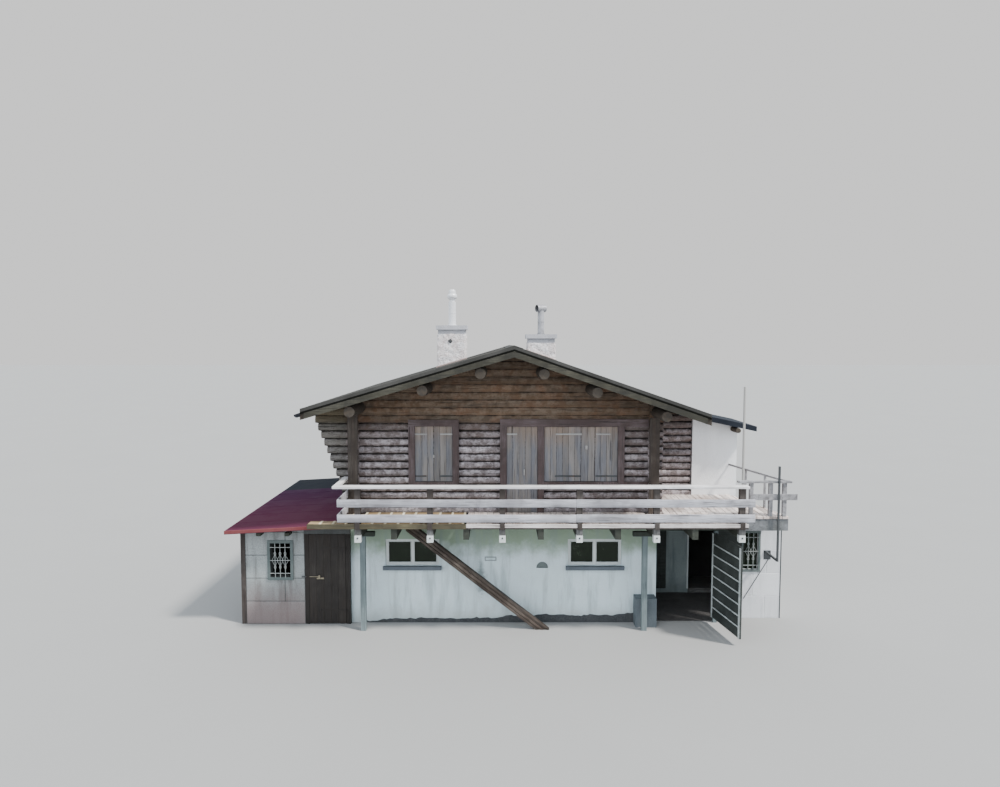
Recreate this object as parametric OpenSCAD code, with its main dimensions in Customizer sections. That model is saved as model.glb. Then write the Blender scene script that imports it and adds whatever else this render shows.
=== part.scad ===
// Alpine chalet: rendered ground storey, round log storey, low gable roof,
// timber balcony and two lean-to stores. Millimetres, +Z up, front faces -Y.

/* [House] */
// Width of the main block over its ground walls
house_w = 6800; // [6200:50:7600]
// Depth of the main block, front face to rear face
house_d = 7000; // [6400:50:8000]
// Height of the ground walls
ground_h = 2180; // [2150:10:2500]
// Thickness of the ground walls
wall_t = 300; // [200:10:400]
// Thickness of the ground floor slab
slab_t = 120; // [80:10:200]
// Thickness of the upper floor
floor_t = 260; // [180:10:320]
// Width of the low block at the foot of the front wall
plinth_w = 460; // [300:10:600]
// Depth of the low block
plinth_d = 300; // [150:10:350]
// Height of the low block
plinth_h = 640; // [400:10:900]
// Distance of the low block from the right corner
plinth_in = 40; // [0:5:200]

/* [Ground windows] */
// Height of the window openings above the ground
win_z = 1290; // [1100:10:1400]
// Width of a ground window
win_w = 1200; // [800:10:1400]
// Height of a ground window
win_h = 600; // [400:10:700]
// Distance of each window's middle from the middle of the front
win_x = 2030; // [1700:10:2300]
// Width of a window frame member
frame_w = 60; // [40:5:90]
// Depth of a window frame
frame_d = 70; // [40:5:90]
// Height of a window sill
sill_h = 80; // [40:5:100]
// How far a sill stands out
sill_out = 90; // [30:5:120]
// How far a sill reaches past its window at each end
sill_side = 50; // [20:5:80]
// How far the window frames stand back in the wall
frame_in = 60; // [30:5:120]
// Thickness of the glass
glass_t = 6; // [4:1:10]

/* [Log storey] */
// Radius of a log
log_r = 105; // [95:1:115]
// Height of one course of logs
course = 170; // [160:1:180]
// Log ends beyond the crossing at the right and the rear
log_tail = 120; // [80:10:200]
// Further reach of the log ends at the left
tail_left = 60; // [0:10:100]
// Height where the bracketed log ends start to step out
corbel_z = 3035; // [2900:5:3400]
// Outward step for each unit of height
corbel_slope = 0.373; // [0.2:0.001:0.45]
// Width of the corner boards
corner_w = 220; // [160:10:260]
// Thickness of the corner boards
corner_t = 40; // [25:5:60]

/* [Log storey openings] */
// Left window: middle of its frame
uwin_x = -1540; // [-1700:10:-1400]
// Left window: width over the frame
uwin_w = 1112; // [900:2:1300]
// Height of the window sills' underside
uwin_z = 3095; // [2950:5:3200]
// Height of the window frames
uwin_h = 1463; // [1200:1:1600]
// Width of the casing boards
case_w = 140; // [80:5:160]
// How far the casing stands out of the logs
case_out = 45; // [20:5:60]
// Left edge of the balcony door frame
door_x = -80; // [-200:10:60]
// Clear width of the balcony door
door_w = 686; // [600:2:800]
// Clear width of the window beside the door
bay_w = 1625; // [1300:5:1700]
// Height of the door and window heads above the ground
head_z = 4410; // [4300:5:4480]
// Height of the head beam
head_h = 160; // [100:5:180]
// Thickness of shutters and plank doors
leaf_t = 40; // [30:2:50]
// Width of the jambs of the door frame
jamb_w = 143; // [90:1:160]
// Height of the sill boards
usill_h = 90; // [60:5:120]
// Width of the rebate behind the shutters and the door
rebate = 20; // [10:1:30]
// How far the shutters stand out of the wall's face
leaf_out = 10; // [0:1:20]

/* [Roof] */
// Ridge, sideways from the middle of the house
ridge_x = 215; // [0:5:300]
// Height of the ridge
ridge_z = 6158; // [6000:2:6400]
// Pitch of the left slope in degrees
pitch_l = 16.3; // [14:0.1:19]
// Pitch of the right slope in degrees
pitch_r = 19.1; // [16:0.1:21]
// Left eave, sideways from the middle
eave_l = -4160; // [-4400:10:-4100]
// Right eave, sideways from the middle
eave_r = 4240; // [4100:10:4400]
// Thickness of the boarded roof
roof_t = 150; // [110:5:170]
// Thickness of the sheet covering with its battens
sheet_t = 50; // [30:5:70]
// Roof overhang at the front
verge_f = 1150; // [900:10:1200]
// Roof overhang at the rear
verge_b = 800; // [500:10:1000]
// Radius of the round purlins
purlin_r = 125; // [100:1:140]
// Left purlins: distance of the first from the ridge
purlin_l1 = 695; // [600:5:750]
// Distance of the second
purlin_l2 = 1885; // [1750:5:1950]
// Distance of the third, at the eave
purlin_l3 = 3375; // [3300:5:3400]
// Right purlins: distance of the first from the ridge
purlin_r1 = 610; // [600:10:700]
// Distance of the second
purlin_r2 = 1695; // [1650:5:1850]
// Distance of the third, at the eave
purlin_r3 = 3120; // [3100:10:3180]
// Height of the bargeboards
barge_h = 115; // [100:5:160]
// Thickness of the bargeboards
barge_t = 30; // [20:2:40]
// How much of the bargeboards covers the roof's edge
barge_lap = 115; // [30:5:130]
// How far the bargeboards end before the eaves
barge_in = 90; // [0:10:150]
// How far the purlins end behind the verge
purlin_in = 20; // [5:5:60]

/* [Chimneys] */
// Width of a chimney stack
stack_w = 670; // [560:10:720]
// Height of the stacks above the ridge
stack_over = 420; // [300:10:600]
// Front face of the stacks behind the front wall
stack_y = 2250; // [2000:10:2600]
// Left stack: middle
stack_lx = -1290; // [-1350:10:-1250]
// Right stack: middle
stack_rx = 955; // [930:5:1000]
// Right stack: how much lower it is
stack_drop = 220; // [100:10:300]
// Thickness of the cap slabs
cap_t = 105; // [80:5:140]
// Overhang of the cap slabs
cap_out = 50; // [20:5:80]
// Radius of the left flue
flue_r = 92; // [70:1:110]
// Height of the left flue
flue_h = 645; // [500:5:800]
// Radius of the right flue
flue2_r = 80; // [60:1:100]
// Height of the right flue
flue2_h = 595; // [450:5:700]
// Height of the ring cowl on the left flue
cowl_h = 270; // [200:5:320]
// How far the ring cowl stands out of its flue
cowl_out = 30; // [15:5:45]
// Length of the turned hood on the right flue
hood_l = 240; // [200:5:320]
// How far the hood stands out of its flue
hood_out = 12; // [5:1:20]
// Height of the hood's middle above its flue
hood_up = 60; // [20:5:70]

/* [Extension] */
// How far the extension stands back from the front
recess = 1900; // [1700:10:2100]
// Right face of the extension
ext_x = 5766; // [5600:2:5800]
// Width of the log part of its front
ext_log_w = 1268; // [1100:2:1400]
// Thickness of its walls
ext_t = 200; // [150:10:260]
// Right eave of its roof
ext_eave = 6110; // [5810:5:6200]
// Pitch of its roof in degrees
ext_pitch = 12; // [8:0.5:13]
// Step from the main roof down to its roof
ext_step = 130; // [100:5:140]
// Thickness of its roof
ext_roof_t = 120; // [80:5:130]
// Overhang of its roof at the front
ext_over = 400; // [300:10:1200]
// Overhang of its roof at the rear
ext_back = 150; // [50:10:300]
// Depth of the extension, front face to rear face
ext_d = 1350; // [1200:10:4500]
// Radius of its purlin
ext_purlin_r = 70; // [50:1:90]
// Left edge of the porch doorway
pdoor_x = 4620; // [4500:10:4640]
// Width of the porch doorway
pdoor_w = 700; // [650:10:720]
// Height of the porch doorway
pdoor_h = 2000; // [1900:10:2100]

/* [Balcony] */
// Left end of the deck
deck_l = -4065; // [-4150:5:-3900]
// Depth of the ledge that the deck forms left of the railing
ledge_d = 300; // [200:10:400]
// Right end of the deck
deck_r = 5050; // [5000:10:5150]
// Reach of the deck from the front wall
deck_reach = 1100; // [900:10:1130]
// Thickness of the deck boards
deck_t = 60; // [40:5:80]
// Width of a joist
joist_w = 120; // [80:5:140]
// Middle of the first railing post
post_x = -3025; // [-3150:5:-3000]
// Distance between the first three railing posts
post_pitch = 1497; // [1400:1:1560]
// Distance between the railing posts right of them
post_pitch_r = 1597; // [1500:1:1650]
// Side of a railing post
post_w = 120; // [80:5:130]
// How far the posts hang below the joists
post_drop = 60; // [20:5:90]
// Top of the railing above the deck
rail_h = 800; // [750:10:950]
// Thickness of railing boards
rail_t = 30; // [20:2:40]
// How far the railing reaches past the first post
rail_over = 415; // [410:5:465]
// How far the front boards reach past the deck's right end
rail_reach = 130; // [0:10:200]
// How far the hand rail stands out in front of the boards
rail_lip = 20; // [0:5:40]
// Width of the hand rail along the left end
side_cap_w = 120; // [100:5:130]
// Height of a railing board
rail_board = 165; // [120:5:180]
// Gap from the deck to the lowest board
rail_gap = 45; // [20:5:80]
// Gap between railing boards
rail_space = 150; // [120:5:180]
// Thickness of the hand rail plank
cap_rail = 50; // [40:5:60]
// Width of the hand rail plank
cap_rail_w = 190; // [150:5:220]
// Height of the edge board
edge_h = 105; // [80:5:140]
// How far the edge board stands above the deck
edge_up = 10; // [0:5:30]
// Side of a support post
prop_w = 112; // [90:2:140]
// Middle of the support posts in front of the wall
prop_y = 440; // [350:10:600]
// Middle of the left support post
prop_lx = -3046; // [-3100:2:-3000]
// Middle of the right support post
prop_rx = 3050; // [3000:10:3100]
// Height of the head pieces on the support posts
head_t = 100; // [70:5:140]
// Reach of a head piece towards the middle of the house
head_in = 260; // [200:10:320]
// Reach of a head piece towards the outside
head_out = 140; // [120:10:200]
// Slope of the leaning timbers in degrees
lean_tilt = 38; // [32:1:40]
// Thickness of one leaning timber
lean_t = 65; // [60:5:85]
// Distance of their upper end from the joist
lean_in = 100; // [10:10:200]
// Width of the leaning timbers
lean_w = 150; // [100:10:180]

/* [Terrace and right store] */
// Front of the terrace, in front of the house wall
terrace_y = 400; // [300:10:500]
// How far the terrace's front beam stands back
terrace_in = 20; // [0:5:60]
// Right end of the terrace at its front
terrace_r = 6170; // [6100:10:6250]
// Inward skew of the right side in degrees
skew = 14; // [12:0.5:15]
// Top of the terrace rail below the balcony rail
trail_drop = 30; // [0:5:60]
// Thickness of the terrace rail
trail_t = 40; // [30:5:60]
// Width of the terrace rail
trail_w = 120; // [90:5:140]
// Height of the board of the terrace railing
tboard_h = 130; // [100:5:160]
// Height of that board above the deck
tboard_z = 360; // [300:10:450]
// Side of the terrace posts
tpost_w = 80; // [60:5:90]
// Distance of the first terrace post from the balcony
tpost_in = 260; // [200:10:300]
// Distance between the first and the second terrace post
tpost_pitch = 420; // [350:10:460]
// Distance of the last terrace post from the terrace's right end
tpost_end = 60; // [40:5:80]
// How far the board of the terrace railing reaches past the terrace
tboard_over = 160; // [50:10:200]
// Distance of the terrace's cross beams from its two ends
tbeam_in = 200; // [150:10:240]
// Height of the mast above the deck
mast_h = 2800; // [2000:50:3200]
// Radius of the mast
mast_r = 25; // [15:1:30]
// Distance of the mast from the balcony's right end
mast_in = 145; // [60:5:200]
// Side of the steel post
steel_w = 40; // [30:2:50]
// Foot of the steel post above the ground
steel_z = 1520; // [1400:10:1700]
// Height of the steel post above the deck
steel_top = 1100; // [900:10:1300]
// Distance of the steel post from the terrace's right end
steel_in = 250; // [200:10:300]
// Length of the stay under the steel post
stay_l = 1100; // [900:10:1150]
// Radius of the stay
stay_r = 8; // [5:1:10]
// Slope of the stay away from upright in degrees
stay_tilt = 31; // [28:1:33]
// Front wall of the right store, behind the house front
store_y = 250; // [200:10:300]
// Width of the right store's front
store_w = 970; // [820:10:1000]
// Right corner of the right store
store_r = 6270; // [6150:10:6300]
// Thickness of the store walls
store_t = 150; // [120:10:160]
// Distance of the store window from the left face
swin_in = 110; // [55:5:150]
// Width of the store window
swin_w = 340; // [240:10:400]
// Width of the rim of the right store window
swin_rim = 50; // [40:5:50]
// Number of upright bars in the right store window
swin_bars = 2; // [1:1:4]
// Height of the store windows
swin_h = 840; // [600:10:900]
// Underside of the right store window
swin_z = 1130; // [1050:10:1200]

/* [Left store] */
// Left face of the left store
annex_l = -5710; // [-5800:10:-5600]
// How far its front stands out of the house front
annex_out = 100; // [90:5:120]
// Depth of the left store
annex_d = 5400; // [4800:50:5800]
// Wall thickness of the left store
annex_t = 200; // [150:10:240]
// Height of its roof at the left wall
annex_z = 2130; // [2110:5:2150]
// Rise of its roof towards the house in degrees
annex_pitch = 3.1; // [2.5:0.1:3.3]
// Thickness of its roof
annex_roof_t = 75; // [60:5:80]
// Roof overhang at the front
annex_fo = 350; // [250:10:400]
// Roof overhang at the left
annex_lo = 330; // [200:10:400]
// Length of the dark rear part of its roof
annex_rear = 1400; // [1000:50:1600]
// Left edge of its window opening
awin_x = -5163; // [-5200:5:-5100]
// Width of its window opening
awin_w = 449; // [400:1:480]
// Underside of its window opening
awin_z = 1065; // [1000:5:1100]
// Height of its window opening
awin_h = 767; // [700:1:800]
// Width of the rim of the left store window
awin_rim = 60; // [40:5:80]
// Number of upright bars in the left store window
awin_bars = 3; // [1:1:5]
// Depth of the barred windows' frames
grille_d = 30; // [20:2:40]
// Thickness of the window bars
bar_w = 12; // [8:1:16]
// Height of the store door leaf
adoor_h = 2010; // [1900:10:2020]
// Width of its door jambs
ajamb_w = 100; // [80:5:110]
// Thickness of the store door leaf
adoor_t = 45; // [35:1:50]
// Width of the store door leaf
adoor_w = 805; // [700:5:850]
// Gap under the store door
adoor_gap = 20; // [10:5:40]
// Depth of its door frame
ajamb_d = 100; // [80:5:140]
// Width of the stop behind the door leaf
stop_w = 15; // [10:1:25]
// Lower hinge above the foot of the store door
adoor_low = 280; // [150:10:400]
// Upper hinge below the top of the store door
adoor_up = 330; // [200:10:450]
// Length of the store door's hinge straps
adoor_strap = 604; // [400:1:640]
// Overhang of the store's roof at the rear
annex_bo = 150; // [50:10:250]

/* [Porch gate] */
// Side of the gate post
gpost_w = 80; // [70:5:100]
// Left face of the gate post
gpost_x = 4685; // [4600:5:4700]
// Underside of the gate
gate_z = 150; // [100:10:200]
// Height of the gate
gate_h = 1900; // [1700:10:1920]
// Thickness of the gate stiles
gate_t = 45; // [40:1:60]
// Number of lapped boards on the gate
gate_boards = 8; // [6:1:10]
// Opening angle of the gate as it stands
gate_open = 100; // [80:1:110]
// Height of the head beam over the porch
gbeam_h = 90; // [70:5:120]
// How far the gate post stands out of the house front
gpost_out = 30; // [20:5:50]
// Width of the gate stiles
stile_w = 60; // [50:5:90]
// Lower hinge above the foot of the gate
gate_low = 150; // [100:10:300]
// Upper hinge below the top of the gate
gate_up = 200; // [150:10:350]
// Length of the gate's hinge straps
gate_strap = 506; // [300:2:700]
// Thickness of the gate's lapped boards
gboard_t = 20; // [15:1:24]
// Tilt of each lapped board in degrees
gboard_tilt = 8; // [6:0.5:9]
// Number of boards on the panel beside the gate
panel_boards = 9; // [7:1:11]

/* [Clearances] */
// Gap round a leaf that opens
leaf_gap = 5; // [5:1:10]
// Gap between a fixed leaf and its frame
fit_gap = 3; // [1:1:5]
// Radius of a hinge pin
pin_r = 8; // [6:0.5:10]
// Running clearance on a hinge pin
pin_gap = 0.3; // [0.2:0.1:0.5]
// Height of a hinge eye
eye_h = 50; // [40:5:70]
// Wall of a hinge eye
eye_wall = 5; // [4:0.5:8]
// Thickness of a hinge strap
strap_t = 8; // [5:1:10]
// Gap between boards that lie side by side
joint = 0.5; // [0.3:0.1:0.9]
// Gap round a piece that is let into another
seat_gap = 0.3; // [0.1:0.1:0.5]
// Gap round what passes through the deck
notch_gap = 5; // [3:1:10]

/* [Hidden] */
round_fn = 32;

// More than the length of anything that a cut has to reach past
far = 2000;

half_w = house_w / 2;
store_l = store_r - store_w;
front = -house_d / 2;
rear = house_d / 2;
log_z = ground_h + floor_t;
deck_z = log_z + deck_t;
ext_front = front + recess;
ext_logs = half_w + ext_log_w;
roof_all = roof_t + sheet_t;
verge_y = front - verge_f;
side_x = half_w - log_r;
courses = ceil((ridge_z - log_z) / course);
deck_f = front - deck_reach;
last_post = deck_r - post_w;
post_list = concat([for (i = [0:4]) post_at(i)], [last_post]);
ext_verge = ext_front - ext_over;
ext_rear = ext_front + ext_d;
ext_purlin_x = ext_x - ext_t / 2;
rail_x = post_x - rail_over;
ledge_x = rail_x + rail_t - side_cap_w;
purlins_l = [purlin_l1, purlin_l2, purlin_l3];
purlins_r = [purlin_r1, purlin_r2, purlin_r3];
// Where one shutter of the wide window ends and the next begins
bay_splits = [0, 0.5, 0.69, 1];
// Heights of a barred window's cross bars, as shares of its height
cross_bars = [0.12, 0.5, 0.88];
leaf_back = front + leaf_t - leaf_out;
hinge_y = eye_wall + pin_r + 2;

// Height on the left slope at x, t below the roof's top face
function left_z(x, t) = ridge_z - (ridge_x - x) * tan(pitch_l) - t / cos(pitch_l);
// Height on the right slope at x, t below the roof's top face
function right_z(x, t) = ridge_z - (x - ridge_x) * tan(pitch_r) - t / cos(pitch_r);
// Height on the extension roof at x, t below its top face
function ext_z(x, t) = right_z(eave_r, 0) - ext_step - (x - eave_r) * tan(ext_pitch) - t / cos(ext_pitch);
// Middle of the railing post i, where halves stand for the joists between posts
function post_at(i) = post_x + min(i, 2) * post_pitch + max(i - 2, 0) * post_pitch_r;
// Reach of a left log end beyond the wall at height z
function corbel(z) = log_tail + tail_left + max(0, z - corbel_z) * corbel_slope;
// Height of the left store roof's underside at x
function annex_top(x) = annex_z + (x - annex_l) * tan(annex_pitch);
// Right side of the terrace or the store at depth y
function skew_x(x, y0, y) = x - (y - y0) * tan(skew);

module box(x0, x1, y0, y1, z0, z1) {
    translate([x0, y0, z0]) cube([x1 - x0, y1 - y0, z1 - z0]);
}

// A profile in x and z, drawn along y
module along_y(y0, y1) {
    translate([0, y1, 0]) rotate([90, 0, 0]) linear_extrude(height = y1 - y0) children();
}

// A profile in x and y, drawn upwards
module upright(z0, z1) {
    translate([0, 0, z0]) linear_extrude(height = z1 - z0) children();
}

module log_x(x0, x1, y, z) {
    translate([x0, y, z]) rotate([0, 90, 0]) cylinder(r = log_r, h = x1 - x0, $fn = round_fn);
}

module log_y(x, y0, y1, z) {
    translate([x, y1, z]) rotate([90, 0, 0]) cylinder(r = log_r, h = y1 - y0, $fn = round_fn);
}

// Ground storey

module ground_floors() {
    color("darkgray") {
        box(-half_w + wall_t, half_w - wall_t, front + wall_t, rear - wall_t, 0, slab_t);
        box(annex_l + annex_t, -half_w, front - annex_out + annex_t, front - annex_out + annex_d - annex_t,
            0, slab_t / 2);
        box(half_w, ext_x - ext_t, ext_front + ext_t, ext_rear - ext_t, 0, slab_t / 2);
    }
}

module window_holes() {
    for (s = [-1, 1])
        box(s * win_x - win_w / 2, s * win_x + win_w / 2, front - 1, front + wall_t + 1,
            win_z, win_z + win_h);
}

module front_ground_wall() {
    color("gainsboro") difference() {
        box(-half_w, half_w, front, front + wall_t, 0, ground_h);
        window_holes();
    }
}

module rear_ground_wall() {
    color("gainsboro") box(-half_w, half_w, rear - wall_t, rear, 0, ground_h);
}

module side_ground_walls() {
    color("gainsboro") for (x = [-half_w, half_w - wall_t])
        box(x, x + wall_t, front + wall_t, rear - wall_t, 0, ground_h);
}

pane_w = (win_w - 3 * frame_w) / 2;

module ground_window_frames() {
    color("white") for (s = [-1, 1]) translate([s * win_x, front + frame_in, win_z]) difference() {
        box(-win_w / 2, win_w / 2, 0, frame_d, 0, win_h);
        for (k = [-1, 1]) translate([k * (win_w - frame_w) / 4, 0, 0])
            box(-pane_w / 2, pane_w / 2, -1, frame_d + 1, frame_w, win_h - frame_w);
    }
}

module ground_window_glass() {
    color("lightblue") for (s = [-1, 1]) for (k = [-1, 1])
        translate([s * win_x + k * (win_w - frame_w) / 4, front + frame_in + frame_d / 2, win_z])
            box(-pane_w / 2, pane_w / 2, -glass_t / 2, glass_t / 2, frame_w, win_h - frame_w);
}

module ground_window_sills() {
    color("slategray") for (s = [-1, 1])
        box(s * win_x - win_w / 2 - sill_side, s * win_x + win_w / 2 + sill_side, front - sill_out, front,
            win_z - sill_h, win_z);
}

// Extension behind the porch

module porch_back_wall() {
    color("gray") difference() {
        box(half_w, ext_x - ext_t, ext_front, ext_front + ext_t, 0, ground_h);
        box(pdoor_x, pdoor_x + pdoor_w, ext_front - 1, ext_front + ext_t + 1, -1, pdoor_h);
    }
}

module extension_side_wall() {
    color("white") difference() {
        box(ext_x - ext_t, ext_x, ext_front, ext_rear, 0, ridge_z);
        extension_roof_cut();
        upper_floor_shape();
        extension_purlin(seat_gap);
    }
}

module extension_rear_wall() {
    color("white") difference() {
        box(half_w, ext_x - ext_t, ext_rear - ext_t, ext_rear, 0, ridge_z);
        extension_roof_cut();
        roof_cut();
        upper_floor_shape();
        purlin_bars(seat_gap);
        extension_purlin(seat_gap);
    }
}

// Everything above the extension roof's underside
module extension_roof_cut() {
    x1 = ext_eave + far;
    along_y(verge_y - far, rear + far)
        polygon([[eave_r, ext_z(eave_r, ext_roof_t)], [x1, ext_z(x1, ext_roof_t)],
            [x1, ridge_z + far], [eave_r, ridge_z + far]]);
}

// Everything above the main roof's underside
module roof_cut() {
    x0 = eave_l - far;
    under = roof_all + seat_gap;
    along_y(verge_y - far, rear + far) {
        polygon([[x0, left_z(x0, under)], [ridge_x, left_z(ridge_x, under)],
            [ridge_x, ridge_z + far], [x0, ridge_z + far]]);
        polygon([[eave_r, right_z(eave_r, under)], [ridge_x, right_z(ridge_x, under)],
            [ridge_x, ridge_z + far], [eave_r, ridge_z + far]]);
    }
}

// Log storey

module upper_floor_shape() {
    upright(ground_h, log_z) polygon([[-half_w, front], [half_w, front], [half_w, ext_front],
        [ext_x, ext_front], [ext_x, ext_rear], [half_w, ext_rear], [half_w, rear],
        [-half_w, rear]]);
}

module upper_floor() {
    color("burlywood") difference() {
        upper_floor_shape();
        stack_boxes();
    }
}

// Round log ends at the left step outwards like a bracket under the eave
module gable_logs(y) {
    for (i = [0:courses - 1]) {
        z = log_z + course * (i + 0.5);
        difference() {
            log_x(-half_w - corbel(z), half_w + log_tail, y, z);
            for (x = [-side_x, side_x])
                log_y(x, y - 3 * log_r, y + 3 * log_r, z - course / 2);
        }
    }
}

module gable_wall(y) {
    difference() {
        gable_logs(y);
        roof_cut();
        purlin_bars(seat_gap);
        box(-2 * half_w, 2 * half_w, front - house_d, rear + house_d, 0, log_z);
    }
}

module front_log_wall() {
    color("sienna") difference() {
        gable_wall(front + log_r);
        casing_holes();
    }
}

module rear_log_wall() { color("sienna") gable_wall(rear - log_r); }

side_courses = floor((left_z(-side_x, roof_all) - log_z) / course) + 1;

// Each side log lies in notches over the gable logs below it
module side_logs(x) {
    difference() {
        for (i = [0:side_courses - 1]) {
            z = log_z + course * i;
            difference() {
                log_y(x, front - log_tail, rear + log_tail, z);
                for (y = [front + log_r, rear - log_r])
                    log_x(x - 3 * log_r, x + 3 * log_r, y, z - course / 2);
            }
        }
        roof_cut();
        purlin_bars(seat_gap);
        box(-2 * half_w, 2 * half_w, front - house_d, rear + house_d, 0, log_z);
    }
}

module side_log_walls() { color("saddlebrown") for (x = [-side_x, side_x]) side_logs(x); }

// Boards over the front log ends, up to the eave purlins
module corner_boards() {
    color("maroon") for (s = [[-side_x, purlin_lz(purlins_l[2])], [side_x, purlin_rz(purlins_r[2])]])
        box(s[0] - corner_w / 2, s[0] + corner_w / 2, front - log_tail - corner_t, front - log_tail,
            deck_z, s[1] - purlin_r - seat_gap);
}

module recess_log_wall() {
    color("sienna") difference() {
        for (i = [0:courses - 1])
            log_x(half_w, ext_logs, ext_front + log_r, log_z + course * (i + 0.5));
        roof_cut();
        extension_roof_cut();
        purlin_bars(seat_gap);
        box(-2 * half_w, 2 * half_w, front - house_d, rear + house_d, 0, log_z);
    }
}

module recess_plaster_wall() {
    color("white") difference() {
        box(ext_logs, ext_x - ext_t, ext_front, ext_front + ext_t, log_z, ridge_z);
        extension_roof_cut();
        extension_purlin(seat_gap);
    }
}

// Upper windows and door

door_r = door_x + 2 * jamb_w + door_w;
bay_r = door_r + bay_w + jamb_w;
beam_r = side_x - corner_w / 2;

module casing_holes() {
    y0 = front - 1;
    y1 = front + 2 * log_r + 1;
    box(uwin_x - uwin_w / 2, uwin_x + uwin_w / 2, y0, y1, uwin_z, uwin_z + uwin_h);
    box(door_x, door_r, y0, y1, log_z, head_z);
    box(door_r - 1, bay_r, y0, y1, uwin_z, head_z);
    box(door_x, beam_r, y0, y1, head_z, head_z + head_h);
    box(bay_r - 1, beam_r, y0, y1, uwin_z, uwin_z + usill_h);
}

module upper_window_frames() {
    y0 = front - case_out;
    y1 = front + 2 * log_r;
    back = leaf_back;
    color("firebrick") {
        difference() {
            box(uwin_x - uwin_w / 2, uwin_x + uwin_w / 2, y0, y1, uwin_z, uwin_z + uwin_h);
            box(uwin_x - uwin_w / 2 + case_w, uwin_x + uwin_w / 2 - case_w, y0 - 1, back,
                uwin_z + usill_h, uwin_z + uwin_h - case_w);
            box(uwin_x - uwin_w / 2 + case_w + rebate, uwin_x + uwin_w / 2 - case_w - rebate, y0, y1 + 1,
                uwin_z + usill_h + rebate, uwin_z + uwin_h - case_w - rebate);
        }
        difference() {
            union() {
                box(door_x, beam_r, y0, y1, head_z, head_z + head_h);
                box(door_x, door_r, y0, y1, log_z, head_z);
                box(door_r - jamb_w, bay_r, y0, y1, uwin_z, head_z);
                box(bay_r - 1, beam_r, y0, y1, uwin_z, uwin_z + usill_h);
            }
            box(door_x + jamb_w, door_x + jamb_w + door_w, y0 - 1, back, deck_z, head_z);
            box(door_x + jamb_w + rebate, door_x + jamb_w + door_w - rebate, y0, y1 + 1, deck_z,
                head_z - rebate);
            box(door_r, door_r + bay_w, y0 - 1, back, uwin_z + usill_h, head_z);
            box(door_r + rebate, door_r + bay_w - rebate, y0, y1 + 1, uwin_z + usill_h + rebate,
                head_z - rebate);
            box(door_x - 1, door_r + 1, y0 - 1, front, log_z - 1, deck_z);
        }
    }
}

// A row of shutter leaves between x0 and x1, widths as shares of the whole
module leaves(x0, x1, z0, z1, shares) {
    back = leaf_back;
    w = x1 - x0;
    for (i = [0:len(shares) - 2])
        box(x0 + w * shares[i] + fit_gap, x0 + w * shares[i + 1] - fit_gap, back - leaf_t, back,
            z0 + fit_gap, z1 - fit_gap);
}

module window_shutters() {
    color("silver") {
        leaves(uwin_x - uwin_w / 2 + case_w, uwin_x + uwin_w / 2 - case_w, uwin_z + usill_h,
            uwin_z + uwin_h - case_w, [0, 0.5, 1]);
        leaves(door_r, door_r + bay_w, uwin_z + usill_h, head_z, bay_splits);
    }
}

module balcony_door() {
    color("silver") leaves(door_x + jamb_w, door_x + jamb_w + door_w, deck_z, head_z, [0, 1]);
}

// Roof

module purlin_bar(x, z, y0, y1, r) {
    translate([x, y1, z]) rotate([90, 0, 0]) cylinder(r = r, h = y1 - y0, $fn = round_fn);
}

// Heights of the purlins' middles at the distance d from the ridge
function purlin_lz(d) = left_z(ridge_x - d, roof_all + purlin_r);
function purlin_rz(d) = right_z(ridge_x + d, roof_all + purlin_r);

// The round purlins of both slopes, thicker by the gap g where they cut their seats
module purlin_bars(g) {
    y0 = verge_y + purlin_in;
    y1 = rear + verge_b;
    for (d = purlins_l) purlin_bar(ridge_x - d, purlin_lz(d), y0, y1, purlin_r + g);
    for (d = purlins_r) purlin_bar(ridge_x + d, purlin_rz(d), y0, y1, purlin_r + g);
}

module extension_purlin(g) {
    purlin_bar(ext_purlin_x, ext_z(ext_purlin_x, ext_roof_t + ext_purlin_r), ext_verge - purlin_in,
        ext_rear + ext_back, ext_purlin_r + g);
}

module purlins() {
    color("peru") {
        difference() {
            purlin_bars(0);
            stack_boxes();
        }
        extension_purlin(0);
    }
}

// A layer of the left slope between the depths t0 and t1
module left_slope(t0, t1) {
    difference() {
        along_y(verge_y, rear + verge_b) polygon([[eave_l, left_z(eave_l, t1)],
            [ridge_x, left_z(ridge_x, t1)], [ridge_x, left_z(ridge_x, t0)], [eave_l, left_z(eave_l, t0)]]);
        stack_boxes();
    }
}

// A layer of the right slope between the depths t0 and t1
module right_slope(t0, t1) {
    difference() {
        along_y(verge_y, rear + verge_b) polygon([[eave_r, right_z(eave_r, t1)],
            [ridge_x, right_z(ridge_x, t1)], [ridge_x, right_z(ridge_x, t0)],
            [eave_r, right_z(eave_r, t0)]]);
        stack_boxes();
    }
}

module roof_boards_left() { color("rosybrown") left_slope(sheet_t, roof_all); }

module roof_boards_right() { color("rosybrown") right_slope(sheet_t, roof_all); }

// Sheets of both slopes, with a fine joint along the ridge
module roof_sheets() {
    color("dimgray") {
        difference() {
            left_slope(0, sheet_t);
            box(ridge_x - joint, ridge_x + 1, verge_y - 1, rear + verge_b + 1, 0, ridge_z + 1);
        }
        right_slope(0, sheet_t);
    }
}

module extension_roof() {
    color("steelblue") along_y(ext_verge, ext_rear + ext_back)
        polygon([[eave_r, ext_z(eave_r, ext_roof_t)], [ext_eave, ext_z(ext_eave, ext_roof_t)],
            [ext_eave, ext_z(ext_eave, 0)], [eave_r, ext_z(eave_r, 0)]]);
}

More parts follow.
